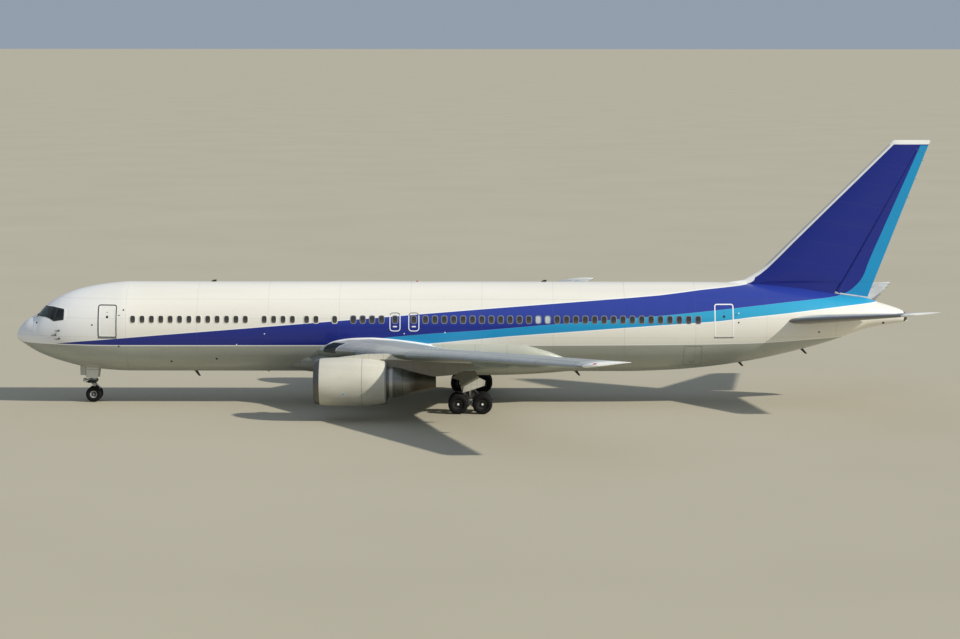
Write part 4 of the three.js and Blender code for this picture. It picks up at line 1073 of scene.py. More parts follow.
# Profiles as shares of a tyre's half width and of its depth, and of a wheel's rim radius
TYRE_WALL = [(0.6, 0.0), (0.8, 0.07), (0.95, 0.22), (1.0, 0.42), (0.98, 0.6), (0.92, 0.78), (0.83, 0.9)]
TREAD_EDGE = [(-0.7, 0.965), (-0.58, 0.99)]
GROOVE = [(-0.035, 1.0), (-0.025, 0.955), (0.025, 0.955), (0.035, 1.0)]
WHEEL_HALF = 0.6
WHEEL_BACK = [(-0.012, 0.0), (-0.012, 0.7), (0.02, 0.8), (-0.014, 0.93), (-0.014, 1.06), (0.0, 1.06)]
WHEEL_FACE = [
    (0.0, 1.06), (0.014, 1.06), (0.014, 0.96), (-0.01, 0.93), (-0.06, 0.84), (-0.075, 0.66),
    (-0.06, 0.42), (-0.01, 0.38), (0.02, 0.34), (0.02, 0.0),
]
HUB_CAP = [(0.018, 0.0), (0.018, 0.24), (0.03, 0.23), (0.038, 0.15), (0.04, 0.0)]
WHEEL_BOLTS, BOLT_CIRCLE, SLOT_CIRCLE, WEB_DEPTH = 10, 0.55, 0.75, 0.075

# Leg parts: ends are counted from the leg's station and side, at the height above the ground
MAIN_CYLINDER = ((-0.055, 0.065, 1.45), (-0.15, 0.18, 3.2))
MAIN_PISTON = ((0, 0, 0.62), (-0.06, 0.07, 1.6))
SIDE_BRACE = ((-0.08, 0.09, 1.9), (-0.1, -2.25, 2.75))
DRAG_BRACE = ((-0.08, 0.09, 1.85), (-1.5, 0.15, 3.1))
MAIN_BARS = [
    (*MAIN_CYLINDER, 0.165, 40), (*SIDE_BRACE, 0.062, 20), (*DRAG_BRACE, 0.058, 20),
    ((0.02, -0.1, 1.9), (0.02, 0.27, 1.9), 0.05, 20),
    ((-0.075, 0.08, 1.75), (-0.075, 0.42, 1.75), 0.035, 24),
    ((-0.075, 0.08, 2.35), (-0.075, 0.42, 2.35), 0.035, 24),
    ((-0.02, 0.02, 0.78), (0.005, 0, 0.5), 0.125, 28),
    ((-0.71, -0.33, 0.585), (-0.71, 0.33, 0.585), 0.125, 32),
    ((0.71, -0.33, 0.585), (0.71, 0.33, 0.585), 0.125, 32),
    ((-0.71, 0, 0.585), (0.71, 0, 0.585), 0.1, 28),
    ((-0.52, 0, 0.725), (-0.16, 0.05, 1.52), 0.035, 16),
]
MAIN_COLLARS = [
    (*MAIN_CYLINDER, 0.02, 0.19, 0.07), (*MAIN_CYLINDER, 0.27, 0.19, 0.1),
    (*MAIN_CYLINDER, 0.56, 0.19, 0.09), (*SIDE_BRACE, 0.5, 0.085, 0.16), (*DRAG_BRACE, 0.5, 0.08, 0.16),
]
TRUCK_KEEL = [
    (-0.6, 0.485), (-0.2, 0.435), (0.2, 0.435), (0.6, 0.485), (0.6, 0.605), (-0.6, 0.605),
]
MAIN_PIPES = [
    ((0.05, 0.1, 2.9), (0.11, 0.02, 1.6), (0.34, -0.12, 1.12), (0.12, -0.16, 0.8), (0.62, -0.2, 0.715)),
    ((-0.24, 0.03, 3.0), (-0.2, -0.05, 1.7), (-0.18, -0.1, 1.2), (-0.06, -0.13, 0.84), (0.6, 0.2, 0.725)),
]
NOSE_CYLINDER = ((0, 0, 1.16), (0, 0, 2.58))
NOSE_BARS = [
    (*NOSE_CYLINDER, 0.128, 36), ((0, 0, 1.52), (-0.63, 0, 2.46), 0.055, 20),
    ((0.06, -0.33, 2.25), (0.06, 0.33, 2.25), 0.058, 20),
    ((0.13, -0.06, 1.5), (0.13, -0.06, 2.4), 0.035, 14),
    ((-0.08, -0.06, 1.36), (-0.5, -0.15, 1.32), 0.03, 14),
    ((-0.08, 0.06, 1.36), (-0.5, 0.15, 1.32), 0.03, 14),
    ((-0.42, -0.16, 1.33), (-0.42, 0.16, 1.33), 0.025, 14),
]
NOSE_COLLARS = [(*NOSE_CYLINDER, 0.03, 0.15, 0.07), (*NOSE_CYLINDER, 0.3, 0.15, 0.09)]
STEERING_BARS = [
    ((-0.36, -0.23, 1.2), (0.14, -0.23, 1.2), 0.062, 20), ((-0.36, 0.23, 1.2), (0.14, 0.23, 1.2), 0.062, 20),
    ((-0.5, -0.23, 1.2), (-0.34, -0.23, 1.2), 0.028, 14), ((-0.5, 0.23, 1.2), (-0.34, 0.23, 1.2), 0.028, 14),
    ((0.08, 0, 1.44), (0.24, 0, 1.3), 0.05, 16),
]
STEERING_BLOCKS = [
    ((-0.06, 0, 1.26), (0.34, 0.5, 0.1)), ((-0.2, 0, 1.46), (0.14, 0.24, 0.16)),
    ((-0.32, 0, 1.33), (0.1, 0.2, 0.1)),
]
STEERED_BARS = [
    ((0, 0, 1.02), (0, 0, 1.135), 0.15, 40), ((0, -0.2, 0.47), (0, 0.2, 0.47), 0.078, 28),
    ((0, 0, 0.37), (0, 0, 0.61), 0.098, 28),
    ((-0.04, -0.13, 1.08), (-0.16, -0.16, 1.08), 0.03, 14),
    ((-0.04, 0.13, 1.08), (-0.16, 0.16, 1.08), 0.03, 14),
]
NOSE_PIPE = ((0.15, 0.09, 2.3), (0.16, 0.1, 1.6), (0.2, 0.1, 1.25), (0.12, 0.1, 1.18))
NOSE_LAMP = {"ahead": -0.64, "side": 0.17, "height": 1.31, "radius": 0.1, "depth": 0.17}


def tyre_rubber():
    """Worn black rubber, dusty on the tread and shoulder, with a fine grain in its surface."""
    finish = Finish("tyre_rubber", roughness=0.8, ior=1.35)
    dust = finish.noise(7.0, 4.0)
    finish.set("Roughness", 0.62 + dust * 0.25)
    colour = finish.mix(RUBBER, srgb(46, 43, 39), (dust * 1.6 - 0.66).clip() * 0.4)
    return finish.dressed(colour, finish.noise(26.0, 2.0), 0.001)


def gear_paint():
    """Light grey gloss enamel of the gear legs, with oil and brake dust in patches."""
    finish = Finish("gear_enamel", roughness=0.4, coat=0.2)
    oily = (finish.noise(2.2, 4.0, (1, 1, 0.6), 3.0) * 2.4 - 1.1).clip()
    finish.set("Roughness", 0.34 + oily * 0.3)
    colour = finish.mix(srgb(196, 198, 196), srgb(84, 80, 72), oily * 0.65)
    return finish.dressed(colour, finish.noise(9.0), 0.0008)


def hub_enamel(name, flange, web, axle, spacing, rim):
    """Wheel enamel: a lighter flange round a darker web, darkened as painted shade in the wheel's dish and,
    on the braked main wheels, also by brake dust.
    """
    finish = Finish(name, roughness=0.45, metallic=0.2)
    ahead, up = abs(finish.x - axle[0]) - spacing / 2, finish.z - axle[1]
    radius = (ahead * ahead + up * up).math("SQRT")
    # Painted shade, with brake dust on the main wheels: the web inside the flange is darker
    colour = finish.mix(web, flange, radius.above(0.7 * rim, 0.03))
    return finish.dressed(finish.worn(colour, 0.6, (1, 1, 1), 2.0), finish.noise(14.0), 0.0008)


def tyre_shape(tyre, centre):
    """Round tyre: bulging sidewalls, a crowned tread and grooves that run round it."""
    half, rim = tyre["width"] / 2, tyre["rim"]
    depth = tyre["radius"] - rim
    grooves = [(middle + across, rise) for middle in TREAD_GROOVES for across, rise in GROOVE]
    tread = [*TREAD_EDGE, *grooves, *((-share, rise) for share, rise in TREAD_EDGE[::-1])]
    lower = [(-share, rise) for share, rise in TYRE_WALL]
    profile = [(share * half, rim + rise * depth) for share, rise in lower + tread + TYRE_WALL[::-1]]
    return closed_turned(profile, centre, "y", 72)


def wheel_profile(rows, tyre, face=1):
    """Rows of (distance out from the wheel's face, share of the rim radius) as a profile."""
    half = WHEEL_HALF * tyre["width"] / 2
    return [(face * half + out, share * tyre["rim"]) for out, share in rows]


def rim_shapes(tyre, centre, way):
    """One wheel: flanges, and a dished web with bolts."""
    half, rim = WHEEL_HALF * tyre["width"] / 2, tyre["rim"]
    well = [(-half, rim - 0.003), (half, rim - 0.003)]
    profile = wheel_profile(WHEEL_BACK, tyre, -1) + well + wheel_profile(WHEEL_FACE, tyre)
    disc = turned([(way * along, radius) for along, radius in profile], centre, "y", 64)
    bolts = []
    for turn in ring(WHEEL_BOLTS):
        foot, head = (
            np.add(centre, (BOLT_CIRCLE * rim * math.cos(turn), way * (half - WEB_DEPTH + out),
                            BOLT_CIRCLE * rim * math.sin(turn)))
            for out in (-0.01, 0.03)
        )
        bolts.append(bar(foot, head, 0.014, sides=6, edge=0.003))
    return [disc, *bolts]


def hub_cap(tyre, centre, way):
    """Low round cap in the middle of a wheel's outer side."""
    profile = [(way * along, radius) for along, radius in wheel_profile(HUB_CAP, tyre)]
    return turned(profile, centre, "y", 32)


def rim_slots(tyre, centre, way):
    """Cooling slots round the web, between the bolts, as dark patches that are painted shade for the holes.
    """
    half, rim = WHEEL_HALF * tyre["width"] / 2, tyre["rim"]
    x, y, z = centre
    angle = ring(WHEEL_BOLTS, math.pi / WHEEL_BOLTS)[:, None, None]
    around = ring(16)[None, None, :]
    lift = np.array([0.0, 0.004])[None, :, None]
    radial = (SLOT_CIRCLE + 0.075 * np.sin(around)) * rim
    aside = 0.085 * rim * np.cos(around)
    web = half - 0.069 + lift + 0 * around
    px = x + radial * np.cos(angle) - aside * np.sin(angle)
    pz = z + radial * np.sin(angle) + aside * np.cos(angle)
    points = np.stack(np.broadcast_arrays(px, y + way * web, pz), -1)
    return grid(points, around=True, ends=True)


def make_wheel_set(name, body, tyre, centre, twin, nodes, finishes):
    """Twin wheels on one axle: hubs, caps, slots and two grooved tyres."""
    rubber, enamel, bright, dark = finishes
    places = [(np.add(centre, (0, way * twin / 2, 0)), way) for way in (-1, 1)]
    axle = bar(places[0][0], places[1][0], 0.058 if tyre is MAIN_TYRE else 0.045)
    hubs = [shape for place, way in places for shape in rim_shapes(tyre, place, way)]
    piece(f"{name}_hubs", [axle, *hubs], enamel, body, [nodes[0]])
    piece(f"{name}_caps", [hub_cap(tyre, *place) for place in places], bright, body)
    # The slots are dark patches on the web: painted shade standing in for its holes
    piece(f"{name}_slots", [rim_slots(tyre, *place) for place in places], dark, body)
    for (place, _), node in zip(places, nodes[1:]):
        piece(f"{node}_rubber", [tyre_shape(tyre, place)], rubber, body, [node], crease=40)


def make_wheels():
    """Twin wheels on the four main axles and on the nose axle."""
    rubber, bright, dark = tyre_rubber(), chrome(), dark_metal()
    white = seam_finish("hub_cap_paint", PURE_WHITE)
    enamel = hub_enamel("main_hub_enamel", srgb(52, 52, 52), srgb(30, 30, 32),
                        (MAIN_GEAR["x"], MAIN_TYRE["radius"]), MAIN_GEAR["spacing"], MAIN_TYRE["rim"])
    nose_enamel = hub_enamel("nose_hub_enamel", srgb(196, 198, 200), srgb(84, 86, 88),
                             (NOSE_GEAR["x"], NOSE_TYRE["radius"]), 0.0, NOSE_TYRE["rim"])
    finishes = (rubber, enamel, white, dark)
    for row, shift in (("front", -0.5), ("rear", 0.5)):
        for side, way in SIDES.items():
            name = f"main_wheels_{row}_{side}"
            station = MAIN_GEAR["x"] + shift * MAIN_GEAR["spacing"]
            centre = (station, way * MAIN_GEAR["y"], MAIN_TYRE["radius"])
            order = ("inner", "outer")[::way]
            nodes = [name, *(f"main_tyre_{row}_{place}_{side}" for place in order)]
            make_wheel_set(name, name, MAIN_TYRE, centre, MAIN_GEAR["twin"], nodes, finishes)
    centre = (NOSE_GEAR["x"], 0, NOSE_TYRE["radius"])
    nodes = ["nose_gear_wheels", "nose_tyre_port", "nose_tyre_starboard"]
    make_wheel_set("nose_wheels", "nose_wheels", NOSE_TYRE, centre, NOSE_GEAR["twin"], nodes,
                   (rubber, nose_enamel, bright, dark))


def arc_path(*points, count=24):
    """Smooth path through a few chosen points."""
    points = np.asarray(points, float)
    run = np.arange(len(points))
    at = np.linspace(0, run[-1], count)
    return np.column_stack([through(at, run, points[:, axis]) for axis in range(3)])


def collar(start, end, share, radius, width=0.05):
    """Ring round a strut, at a share of its length."""
    start, end = np.asarray(start, float), np.asarray(end, float)
    way = (end - start) / np.linalg.norm(end - start)
    middle = start + share * (end - start)
    return bar(middle - way * width / 2, middle + way * width / 2, radius, sides=28, edge=0.01)


def bars(base, rows):
    """Round bars from rows of (start, end, radius, sides), counted from a base point."""
    return [bar(np.add(base, start), np.add(base, end), radius, sides=sides)
            for start, end, radius, sides in rows]


def collars(base, rows):
    """Rings from rows of (start, end, share, radius, width), counted from a base point."""
    return [collar(np.add(base, start), np.add(base, end), *sizes) for start, end, *sizes in rows]


def make_main_gear():
    """Main legs on the frame's own lines: cylinder, chrome piston, braces, torque links, truck
    beam with brakes and their rods, and brake pipes."""
    base = np.array([MAIN_GEAR["x"], MAIN_GEAR["y"], 0])
    y, z, axle = base[1], MAIN_TYRE["radius"], MAIN_GEAR["spacing"] / 2
    four = [(way, side) for way in (-1, 1) for side in (-1, 1)]
    keel = slab(np.array(TRUCK_KEEL) + (base[0], 0), y - 0.06, y + 0.06)
    struts = [*bars(base, MAIN_BARS), *collars(base, MAIN_COLLARS), keel]
    brakes = torque_links(base + (0.1, 0, 1.52), base + (0.1, 0, 0.72), 0.36, 0.12)
    brakes += bars(base, [
        ((way * axle, side * 0.3, z), (way * axle, side * 0.44, z), 0.2, 32) for way, side in four])
    brakes += bars(base, [
        ((way * 0.68, side * 0.26, z - 0.2), (way * 0.06, side * 0.12, z - 0.19), 0.022, 12)
        for way, side in four])
    pipes = [
        tube(arc_path(*path, np.multiply(end, (way, 1, 1))) + base, radius, 8)
        for (*path, end), radius in zip(MAIN_PIPES, (0.014, 0.012)) for way in (-1, 1)
    ]
    piston = bars(base, [(*MAIN_PISTON, 0.093, 40)])
    enamel, bright, hose, dark = gear_paint(), chrome(), hose_rubber(), dark_metal()
    for side in SIDES:
        leg = f"main_gear_leg_{side}"
        for part, shapes, finish, slot, nodes in (
            ("struts", struts, enamel, "gear_paint", [leg]), ("piston", piston, bright, "bare_metal", []),
            ("brakes", brakes, dark, "hub_paint", []), ("hoses", pipes, hose, None, []),
        ):
            shapes = [on_side(shape, side) for shape in shapes]
            piece(f"{leg}_{part}", shapes, finish, "airframe", nodes)
        smoothed(f"main_gear_door_{side}", door_paint(), "airframe")


def torque_links(top, foot, reach, width):
    """Scissor links: two tapered arms each, from the collars to a pin behind the strut."""
    x, y, middle = top[0] + reach, top[1], (top[2] + foot[2]) / 2
    links = [bar((x, y - 0.07, middle), (x, y + 0.07, middle), 0.03, sides=12)]
    for x_end, _, z_end in (top, foot):
        for way in (-1, 1):
            start, pin = (x_end, y + way * width, z_end), (x, y + way * 0.03, middle)
            links.append(bar(start, pin, 0.034, 0.024, 12))
        ends = [(x_end, y + way * (width + 0.03), z_end) for way in (-1, 1)]
        links.append(bar(*ends, 0.034, sides=14))
    return links


def door_paint():
    """Gear doors: the outer leaf pale grey like the wing, the inner panel a dark olive as painted shade under
    the wing, dusty, with a stiffener pattern.
    """
    finish = Finish("gear_door_paint", roughness=0.45)
    leaf = abs(finish.y).above(DOOR_LEAF_OUTSIDE)
    # Painted shade: the door's inner panel, under the wing, is a dark olive
    colour = finish.mix(srgb(112, 111, 94), srgb(206, 206, 192), leaf)
    ribs = finish.x.lines(26.4, 0.36, 0.012).most(finish.z.lines(1.3, 0.41, 0.01))
    colour = finish.mix(finish.worn(colour, 0.6, (1, 1, 1), 3.0), SEAM_GREY, ribs * 0.3)
    return finish.dressed(colour, 0.0 - ribs, 0.002)


def make_nose_gear():
    """Nose leg with its braces and lamps, and the steered part with torque links and tow lug."""
    base = np.array([NOSE_GEAR["x"], 0, 0])
    enamel, bright, hose = gear_paint(), chrome(), hose_rubber()
    steering = bars(base, STEERING_BARS) + [block(base + place, size) for place, size in STEERING_BLOCKS]
    piece("nose_steering_cylinders", steering, dark_metal(), "airframe")
    lamp = NOSE_LAMP
    places = [base + (lamp["ahead"], way * lamp["side"], lamp["height"]) for way in (-1, 1)]
    lamps, glass = lamp_shapes(places, lamp["radius"], lamp["depth"])
    leg = bars(base, NOSE_BARS) + collars(base, NOSE_COLLARS)
    piece("nose_gear_leg_struts", leg, enamel, "airframe", ["nose_gear_leg"])
    piece("nose_gear_lamps", lamps, gear_paint(), "airframe")
    lens = lamp_glass("lamp_glass", srgb(236, 238, 236))
    piece("nose_gear_lamp_glass", glass, lens, "airframe")
    pipe = tube(arc_path(*NOSE_PIPE) + base, 0.011, 8)
    piece("nose_gear_hoses", both_sides(pipe), hose, "airframe")
    steered = bars(base, STEERED_BARS) + [block(base + (-0.15, 0, 0.62), (0.18, 0.09, 0.11))]
    steered += torque_links(base + (0.12, 0, 1.06), base + (0.08, 0, 0.56), 0.24, 0.07)
    body = "nose_steering"
    piece("nose_gear_steering_parts", steered, enamel, body, ["nose_gear_steering"])
    piston = bars(base, [((0, 0, 0.56), (0, 0, 1.03), 0.08, 36)])
    piece("nose_gear_piston", piston, bright, body)
    for side in SIDES:
        smoothed(f"nose_gear_door_{side}", nose_door_paint(), "airframe")


def nose_door_paint():
    """Nose gear doors: a duller grey ahead of their joint as painted shade where the door bends inward, cream
    behind it, with a seam.
    """
    finish = Finish("nose_door_paint", roughness=0.4, coat=0.1)
    behind = finish.x.above(NOSE_DOOR_JOINT)
    seam = finish.x.line(NOSE_DOOR_JOINT, 0.018).most(finish.z.line(1.98, 0.008) * behind)
    # Painted shade: the door's part ahead of the joint is duller
    colour = finish.mix(srgb(196, 196, 184), srgb(222, 221, 210), behind)
    colour = finish.worn(colour, 0.5, (1, 1, 1), 5.0)
    return finish.dressed(finish.mix(colour, SEAM_GREY, seam * 0.8), 0.0 - seam, 0.002)


def lamp_shapes(places, radius, depth):
    """Round lamps that face forward: bowls behind, and slightly domed glasses."""
    bowl = [
        (0.004, 0.0), (0.0, radius * 0.96), (0.0, radius), (0.35 * depth, radius * 0.98),
        (depth, 0.4 * radius), (depth, 0.0),
    ]
    glass = [
        (-0.02 * depth - 0.012, 0.0), (-0.012, 0.5 * radius), (0.002, 0.95 * radius),
        (0.01, 0.95 * radius), (0.01, 0.0),
    ]
    return ([turned(profile, place, "x", 32) for place in places] for profile in (bowl, glass))


def lamp_glass(name, colour):
    """Lens with fine darker ribs."""
    finish = Finish(name, roughness=0.08, coat=0.6, coat_roughness=0.03)
    ribs = finish.y.lines(0.0, 0.03, 0.004, 0.006)
    darker = tuple(0.55 * channel for channel in colour)
    return finish.dressed(finish.mix(colour, darker, ribs * 0.6), ribs, 0.001)


# Glass, doors and small fittings on the fuselage. A run is (first window's station, count)

WINDOW = {"height": 5.25, "half_width": 0.14, "half_height": 0.2, "pitch": 0.5588, "fullness": 0.6}
WINDOW_RUNS = [
    (7.33, 13), (15.16, 4), (17.68, 2), (19.35, 1), (20.46, 4), (22.94, 1), (24.06, 1), (24.75, 30),
]
SHADED_WINDOWS = (31.46, 32.02)

# Rings of an oval on the skin: scale across, scale up, height off the skin
WINDOW_PANE = [(1.02, 1.02, -0.02), (1.02, 1.02, 0.004), (0.5, 0.5, 0.006)]
WINDOW_RIM = [
    (1.02, 1.02, 0.002), (1.04, 1.03, 0.012), (1.16, 1.12, 0.014), (1.36, 1.26, 0.006),
    (1.4, 1.29, -0.02),
]
DOOR_PANE = [(1, 1, -0.02), (1, 1, 0.006), (0.5, 0.5, 0.007)]
RAISED = [(1, 1, -0.02), (1, 1, 0.008)]
PORT = [(1, 1, -0.02), (1, 1, 0.0056), (0.8, 0.8, 0.008)]

# Doors and exits: the station and height of their edges
DOORS = [((5.26, 6.34), (4.18, 6.06), "dark"), ((41.96, 43.04), (4.24, 6.14), "white")]
EXITS = [((22.64, 23.24), (4.58, 5.64)), ((23.76, 24.36), (4.58, 5.64))]
CARGO_DOORS = {
    "starboard": [((9.8, 13.2), (2.35, 4.05)), ((34.2, 35.98), (2.4, 4.05))],
    "port": [((40.15, 41.22), (2.42, 3.66))],
}
RIMS_IN_STRIPE = 20.2
EXIT_GREY_ABOVE = 5.5


def window_stations():
    """Middle of every cabin window along one side: runs at one pitch with gaps between them."""
    return np.concatenate([start + WINDOW["pitch"] * np.arange(count) for start, count in WINDOW_RUNS])


def oval(stations, height, half_width, half_height, rings):
    """Points of flat ovals on the starboard skin, one for each station."""
    angle = ring(24)
    fullness = WINDOW["fullness"]
    soft = [np.sign(wave) * abs(wave) ** fullness for wave in (np.cos(angle), np.sin(angle))]
    wide, tall, proud = (np.asarray(column)[:, None] for column in zip(*rings))
    x = np.atleast_1d(stations)[:, None, None] + half_width * wide * soft[0]
    z = height + half_height * tall * soft[1] + 0 * x
    return side_points(x, z, proud + 0 * x)


def badge(*sizes):
    """Closed flat ovals on the starboard skin, sized as for oval()."""
    return grid(oval(*sizes), around=True, ends=True)


def make_windows():
    """Every cabin window of both sides: dark glass a little below a pale raised surround."""
    stations = window_stations()
    shaded = np.any([abs(stations - at) < 0.27 for at in SHADED_WINDOWS], axis=0)
    size = (WINDOW["height"], WINDOW["half_width"], WINDOW["half_height"])
    for name, chosen, finish in (
        ("cabin_windows", ~shaded, cabin_glass()), ("shaded_windows", shaded, window_shade()),
    ):
        panes = badge(stations[chosen], *size, WINDOW_PANE)
        piece(name, both_sides(panes), finish, "airframe")
    rims = oval(stations, *size, WINDOW_RIM)
    rims = grid(np.concatenate([rims, rims[:, :1]], 1), around=True)
    piece("window_surrounds", both_sides(rims), surround_paint(), "airframe")


def cabin_glass():
    """Dark smoked glass with a slightly lighter, warmer lower part where the shade sill shows."""
    finish = Finish("cabin_glass", roughness=0.1, coat=0.5, coat_roughness=0.04)
    low = (5.2 - finish.z).above(0.0, 0.1)
    colour = finish.mix(srgb(54, 52, 49), srgb(92, 85, 74), low * finish.noise(4.0))
    return finish.dressed(colour, finish.noise(2.0), 0.0004)


def window_shade():
    """Drawn window shade: pale, with fine slats."""
    finish = Finish("window_shade", roughness=0.3, coat=0.5, coat_roughness=0.04)
    slats = finish.z.lines(5.05, 0.05, 0.006)
    colour = finish.mix(srgb(205, 214, 214), srgb(160, 170, 172), slats)
    return finish.dressed(colour, finish.noise(3.0), 0.0004)


def surround_paint():
    """Window rims: cream on the cream skin, and a dull grey where the dark stripe crosses them."""
    finish = Finish("window_surround_paint", roughness=0.4)
    in_stripe = finish.x.above(RIMS_IN_STRIPE)
    rim = finish.mix(srgb(228, 225, 212), srgb(128, 132, 146), in_stripe)
    return finish.dressed(finish.worn(rim, 0.3, (1, 1, 1), 1.0), finish.noise(12.0), 0.0005)


def rounded(corners, radius, step=0.05):
    """Closed outline through corner points: corners rounded, straights cut into short steps."""
    corners = np.asarray(corners, float)
    ahead = np.roll(corners, -1, axis=0) - corners
    length = np.linalg.norm(ahead, axis=1, keepdims=True)
    ahead /= length
    leave = corners + ahead * np.minimum(radius, length / 2)
    arrive = corners - np.roll(ahead * np.minimum(radius, length / 2), 1, axis=0)
    t = np.linspace(0, 1, 7)[:, None]
    parts = []
    for start, corner, end, following in zip(arrive, corners, leave, np.roll(arrive, -1, axis=0)):
        parts.append((1 - t) ** 2 * start + 2 * t * (1 - t) * corner + t * t * end)
        count = 2 + int(np.linalg.norm(following - end) / step)
        parts.append(end + np.linspace(0, 1, count)[1:-1, None] * (following - end))
    return np.concatenate(parts)


def rounded_box(low, high, corner):
    """Rounded rectangle between two corners, anticlockwise in station and height."""
    (x0, z0), (x1, z1) = low, high
    return rounded([(x0, z0), (x1, z0), (x1, z1), (x0, z1)], corner)


def skin_strip(path, width, proud):
    """Thin raised strip along a closed outline on the skin, its edges sunk into it."""
    ahead = np.roll(path, -1, axis=0) - np.roll(path, 1, axis=0)
    ahead /= np.linalg.norm(ahead, axis=1, keepdims=True)
    out = np.column_stack([ahead[:, 1], -ahead[:, 0]])
    offsets = np.array([-0.5, -0.42, 0.42, 0.5, 0.0]) * width
    lifts = np.array([-0.01, proud, proud, -0.01, -0.02])
    flat = path[:, None] + offsets[:, None] * out[:, None]
    points = side_points(flat[..., 0], flat[..., 1], lifts + 0 * flat[..., 0])
    return grid(np.concatenate([points, points[:1]]), around=True)


def box_strip(stations, heights, corner, width, proud, inset=0.0):
    """Raised strip along a rounded rectangle, given by the stations and heights of its edges."""
    low, high = np.transpose([stations, heights])
    return skin_strip(rounded_box(low + inset, high - inset, corner), width, proud)


def seam_finish(name, colour):
    """One even paint with a trace of grime, for outlines and small fittings."""
    finish = Finish(name, roughness=0.5)
    return finish.dressed(finish.worn(colour, 0.1, (1, 1, 1), 2.0), finish.noise(15.0), 0.0004)


def exit_paint():
    """Overwing exit outlines: white in the stripe, and grey on the cream above it."""
    finish = Finish("exit_outline", roughness=0.4)
    grey = finish.z.above(EXIT_GREY_ABOVE)
    return finish.dressed(finish.mix(PURE_WHITE, srgb(146, 146, 140), grey), finish.noise(15.0), 0.0004)


def make_doors():
    """Cabin doors, overwing exits and cargo doors as outlines on the skin, with their small
    windows, handles and sills."""
    lines = {"dark": [], "white": []}
    exits, panes, handles = [], [], []
    for stations, heights, tone in DOORS:
        lines[tone].append(box_strip(stations, heights, 0.13, 0.075, 0.006))
        if tone == "dark":
            lines["white"].append(box_strip(stations, heights, 0.09, 0.05, 0.005, 0.07))
        middle, foot = sum(stations) / 2, heights[0]
        panes.append(badge(middle, foot + 1.2, 0.065, 0.075, DOOR_PANE))
        # Door handles are dark raised ovals: painted shade for the handles' recesses
        handles.append(badge(middle, foot + 1.46, 0.03, 0.02, RAISED))
        handles.append(badge(middle + 0.72, foot + 1.3, 0.07, 0.02, RAISED))
        sill = rounded_box((stations[0] - 0.02, foot - 0.07), (stations[1] + 0.02, foot - 0.015), 0.02)
        lines["dark"].append(skin_strip(sill, 0.03, 0.008))
    for stations, heights in EXITS:
        exits.append(box_strip(stations, heights, 0.2, 0.06, 0.006))
        lines["white"].append(badge(sum(stations) / 2, heights[0] + 0.26, 0.13, 0.04, RAISED))
    dark, white = seam_finish("door_seal", srgb(82, 84, 82)), seam_finish("door_outline", srgb(248, 248, 244))
    piece("door_seals", both_sides(*lines["dark"]), dark, "airframe")
    piece("exit_outlines", both_sides(*exits), exit_paint(), "airframe")
    piece("door_outlines", both_sides(*lines["white"]), white, "airframe")
    piece("door_windows", both_sides(*panes), cabin_glass(), "airframe")
    piece("door_handles", both_sides(*handles), dark, "airframe")
    faint = seam_finish("panel_seam", srgb(120, 120, 112))
    for side, doors in CARGO_DOORS.items():
        seams = []
        for stations, heights in doors:
            middle, foot = sum(stations) / 2, heights[0]
            handle = rounded_box((middle - 0.12, foot + 0.16), (middle + 0.12, foot + 0.26), 0.02)
            seams += [box_strip(stations, heights, 0.1, 0.022, 0.004), skin_strip(handle, 0.016, 0.004)]
        piece(f"cargo_door_seams_{side}", [on_side(seam, side) for seam in seams], faint, "airframe")


# Flight deck glass: corners as (station, height). Where a station lies ahead of the crown line,
# the corner lies on the centre post

GLASS_BAND = [
    (0.0, 5.3), (1.95, 5.27), (2.22, 5.2), (2.5, 5.05), (3.14, 5.15), (3.14, 5.78), (2.4, 5.88), (0.0, 5.8),
]
PANES = [
    [(0.0, 5.34), (2.03, 5.31), (2.12, 5.8), (0.0, 5.76)],
    [(2.14, 5.27), (2.45, 5.13), (2.6, 5.78), (2.25, 5.82)],
    [(2.58, 5.12), (3.07, 5.21), (3.07, 5.73), (2.73, 5.77)],
]
CENTRE_POST = 0.035


def front_station(height):
    """Foremost station of the skin at a height, where the crown line passes it."""
    station = np.linspace(0.4, 3.4, 400)
    return np.interp(height, body_section(station)[0], station)


def nose_patch(corners, rings, corner):
    """Closed patch on the nose's skin. It is laid out by height and by the root of the distance
    behind the crown line, in which the skin is even. Rings are (scale, height off the skin)."""
    path = rounded(corners, corner, 0.03)
    behind = np.sqrt(np.maximum(path[:, 0] - front_station(path[:, 1]), CENTRE_POST ** 2))
    flat = np.column_stack([behind, path[:, 1]])
    centre = (flat.max(0) + flat.min(0)) / 2
    scale, proud = (np.asarray(column)[:, None] for column in zip(*rings))
    rows = centre + scale[..., None] * (flat - centre)
    behind = np.maximum(rows[..., 0], CENTRE_POST)
    x = front_station(rows[..., 1]) + behind ** 2
    return grid(side_points(x, rows[..., 1], proud + 0 * x), around=True, ends=True)


def make_flight_deck():
    """White surround, dark frame and three glass panes on each side of the nose."""
    white = seam_finish("windscreen_surround", PURE_WHITE)
    dark = seam_finish("windscreen_frame", srgb(46, 50, 48))
    for name, outlines, spread, rise, finish, slot, nodes in (
        ("surround", [GLASS_BAND], 0.09, 0.006, white, "white_paint", []),
        ("frame", [GLASS_BAND], 0.0, 0.012, dark, "gear_paint", []),
        ("panes", PANES, 0.0, 0.02, windscreen_glass(), "glazing", ["flight_deck_glazing"]),
    ):
        edge = 1.0 + spread
        rings = [(edge, -0.02), (edge, rise - 0.003), (edge - 0.02, rise)]
        rings += [(scale, rise) for scale in (0.8, 0.55, 0.3, 0.1)]
        corner = 0.05 if name == "panes" else 0.07
        patches = [nose_patch(outline, rings, corner) for outline in outlines]
        piece(f"windscreen_{name}", both_sides(*patches), finish, "airframe", nodes)


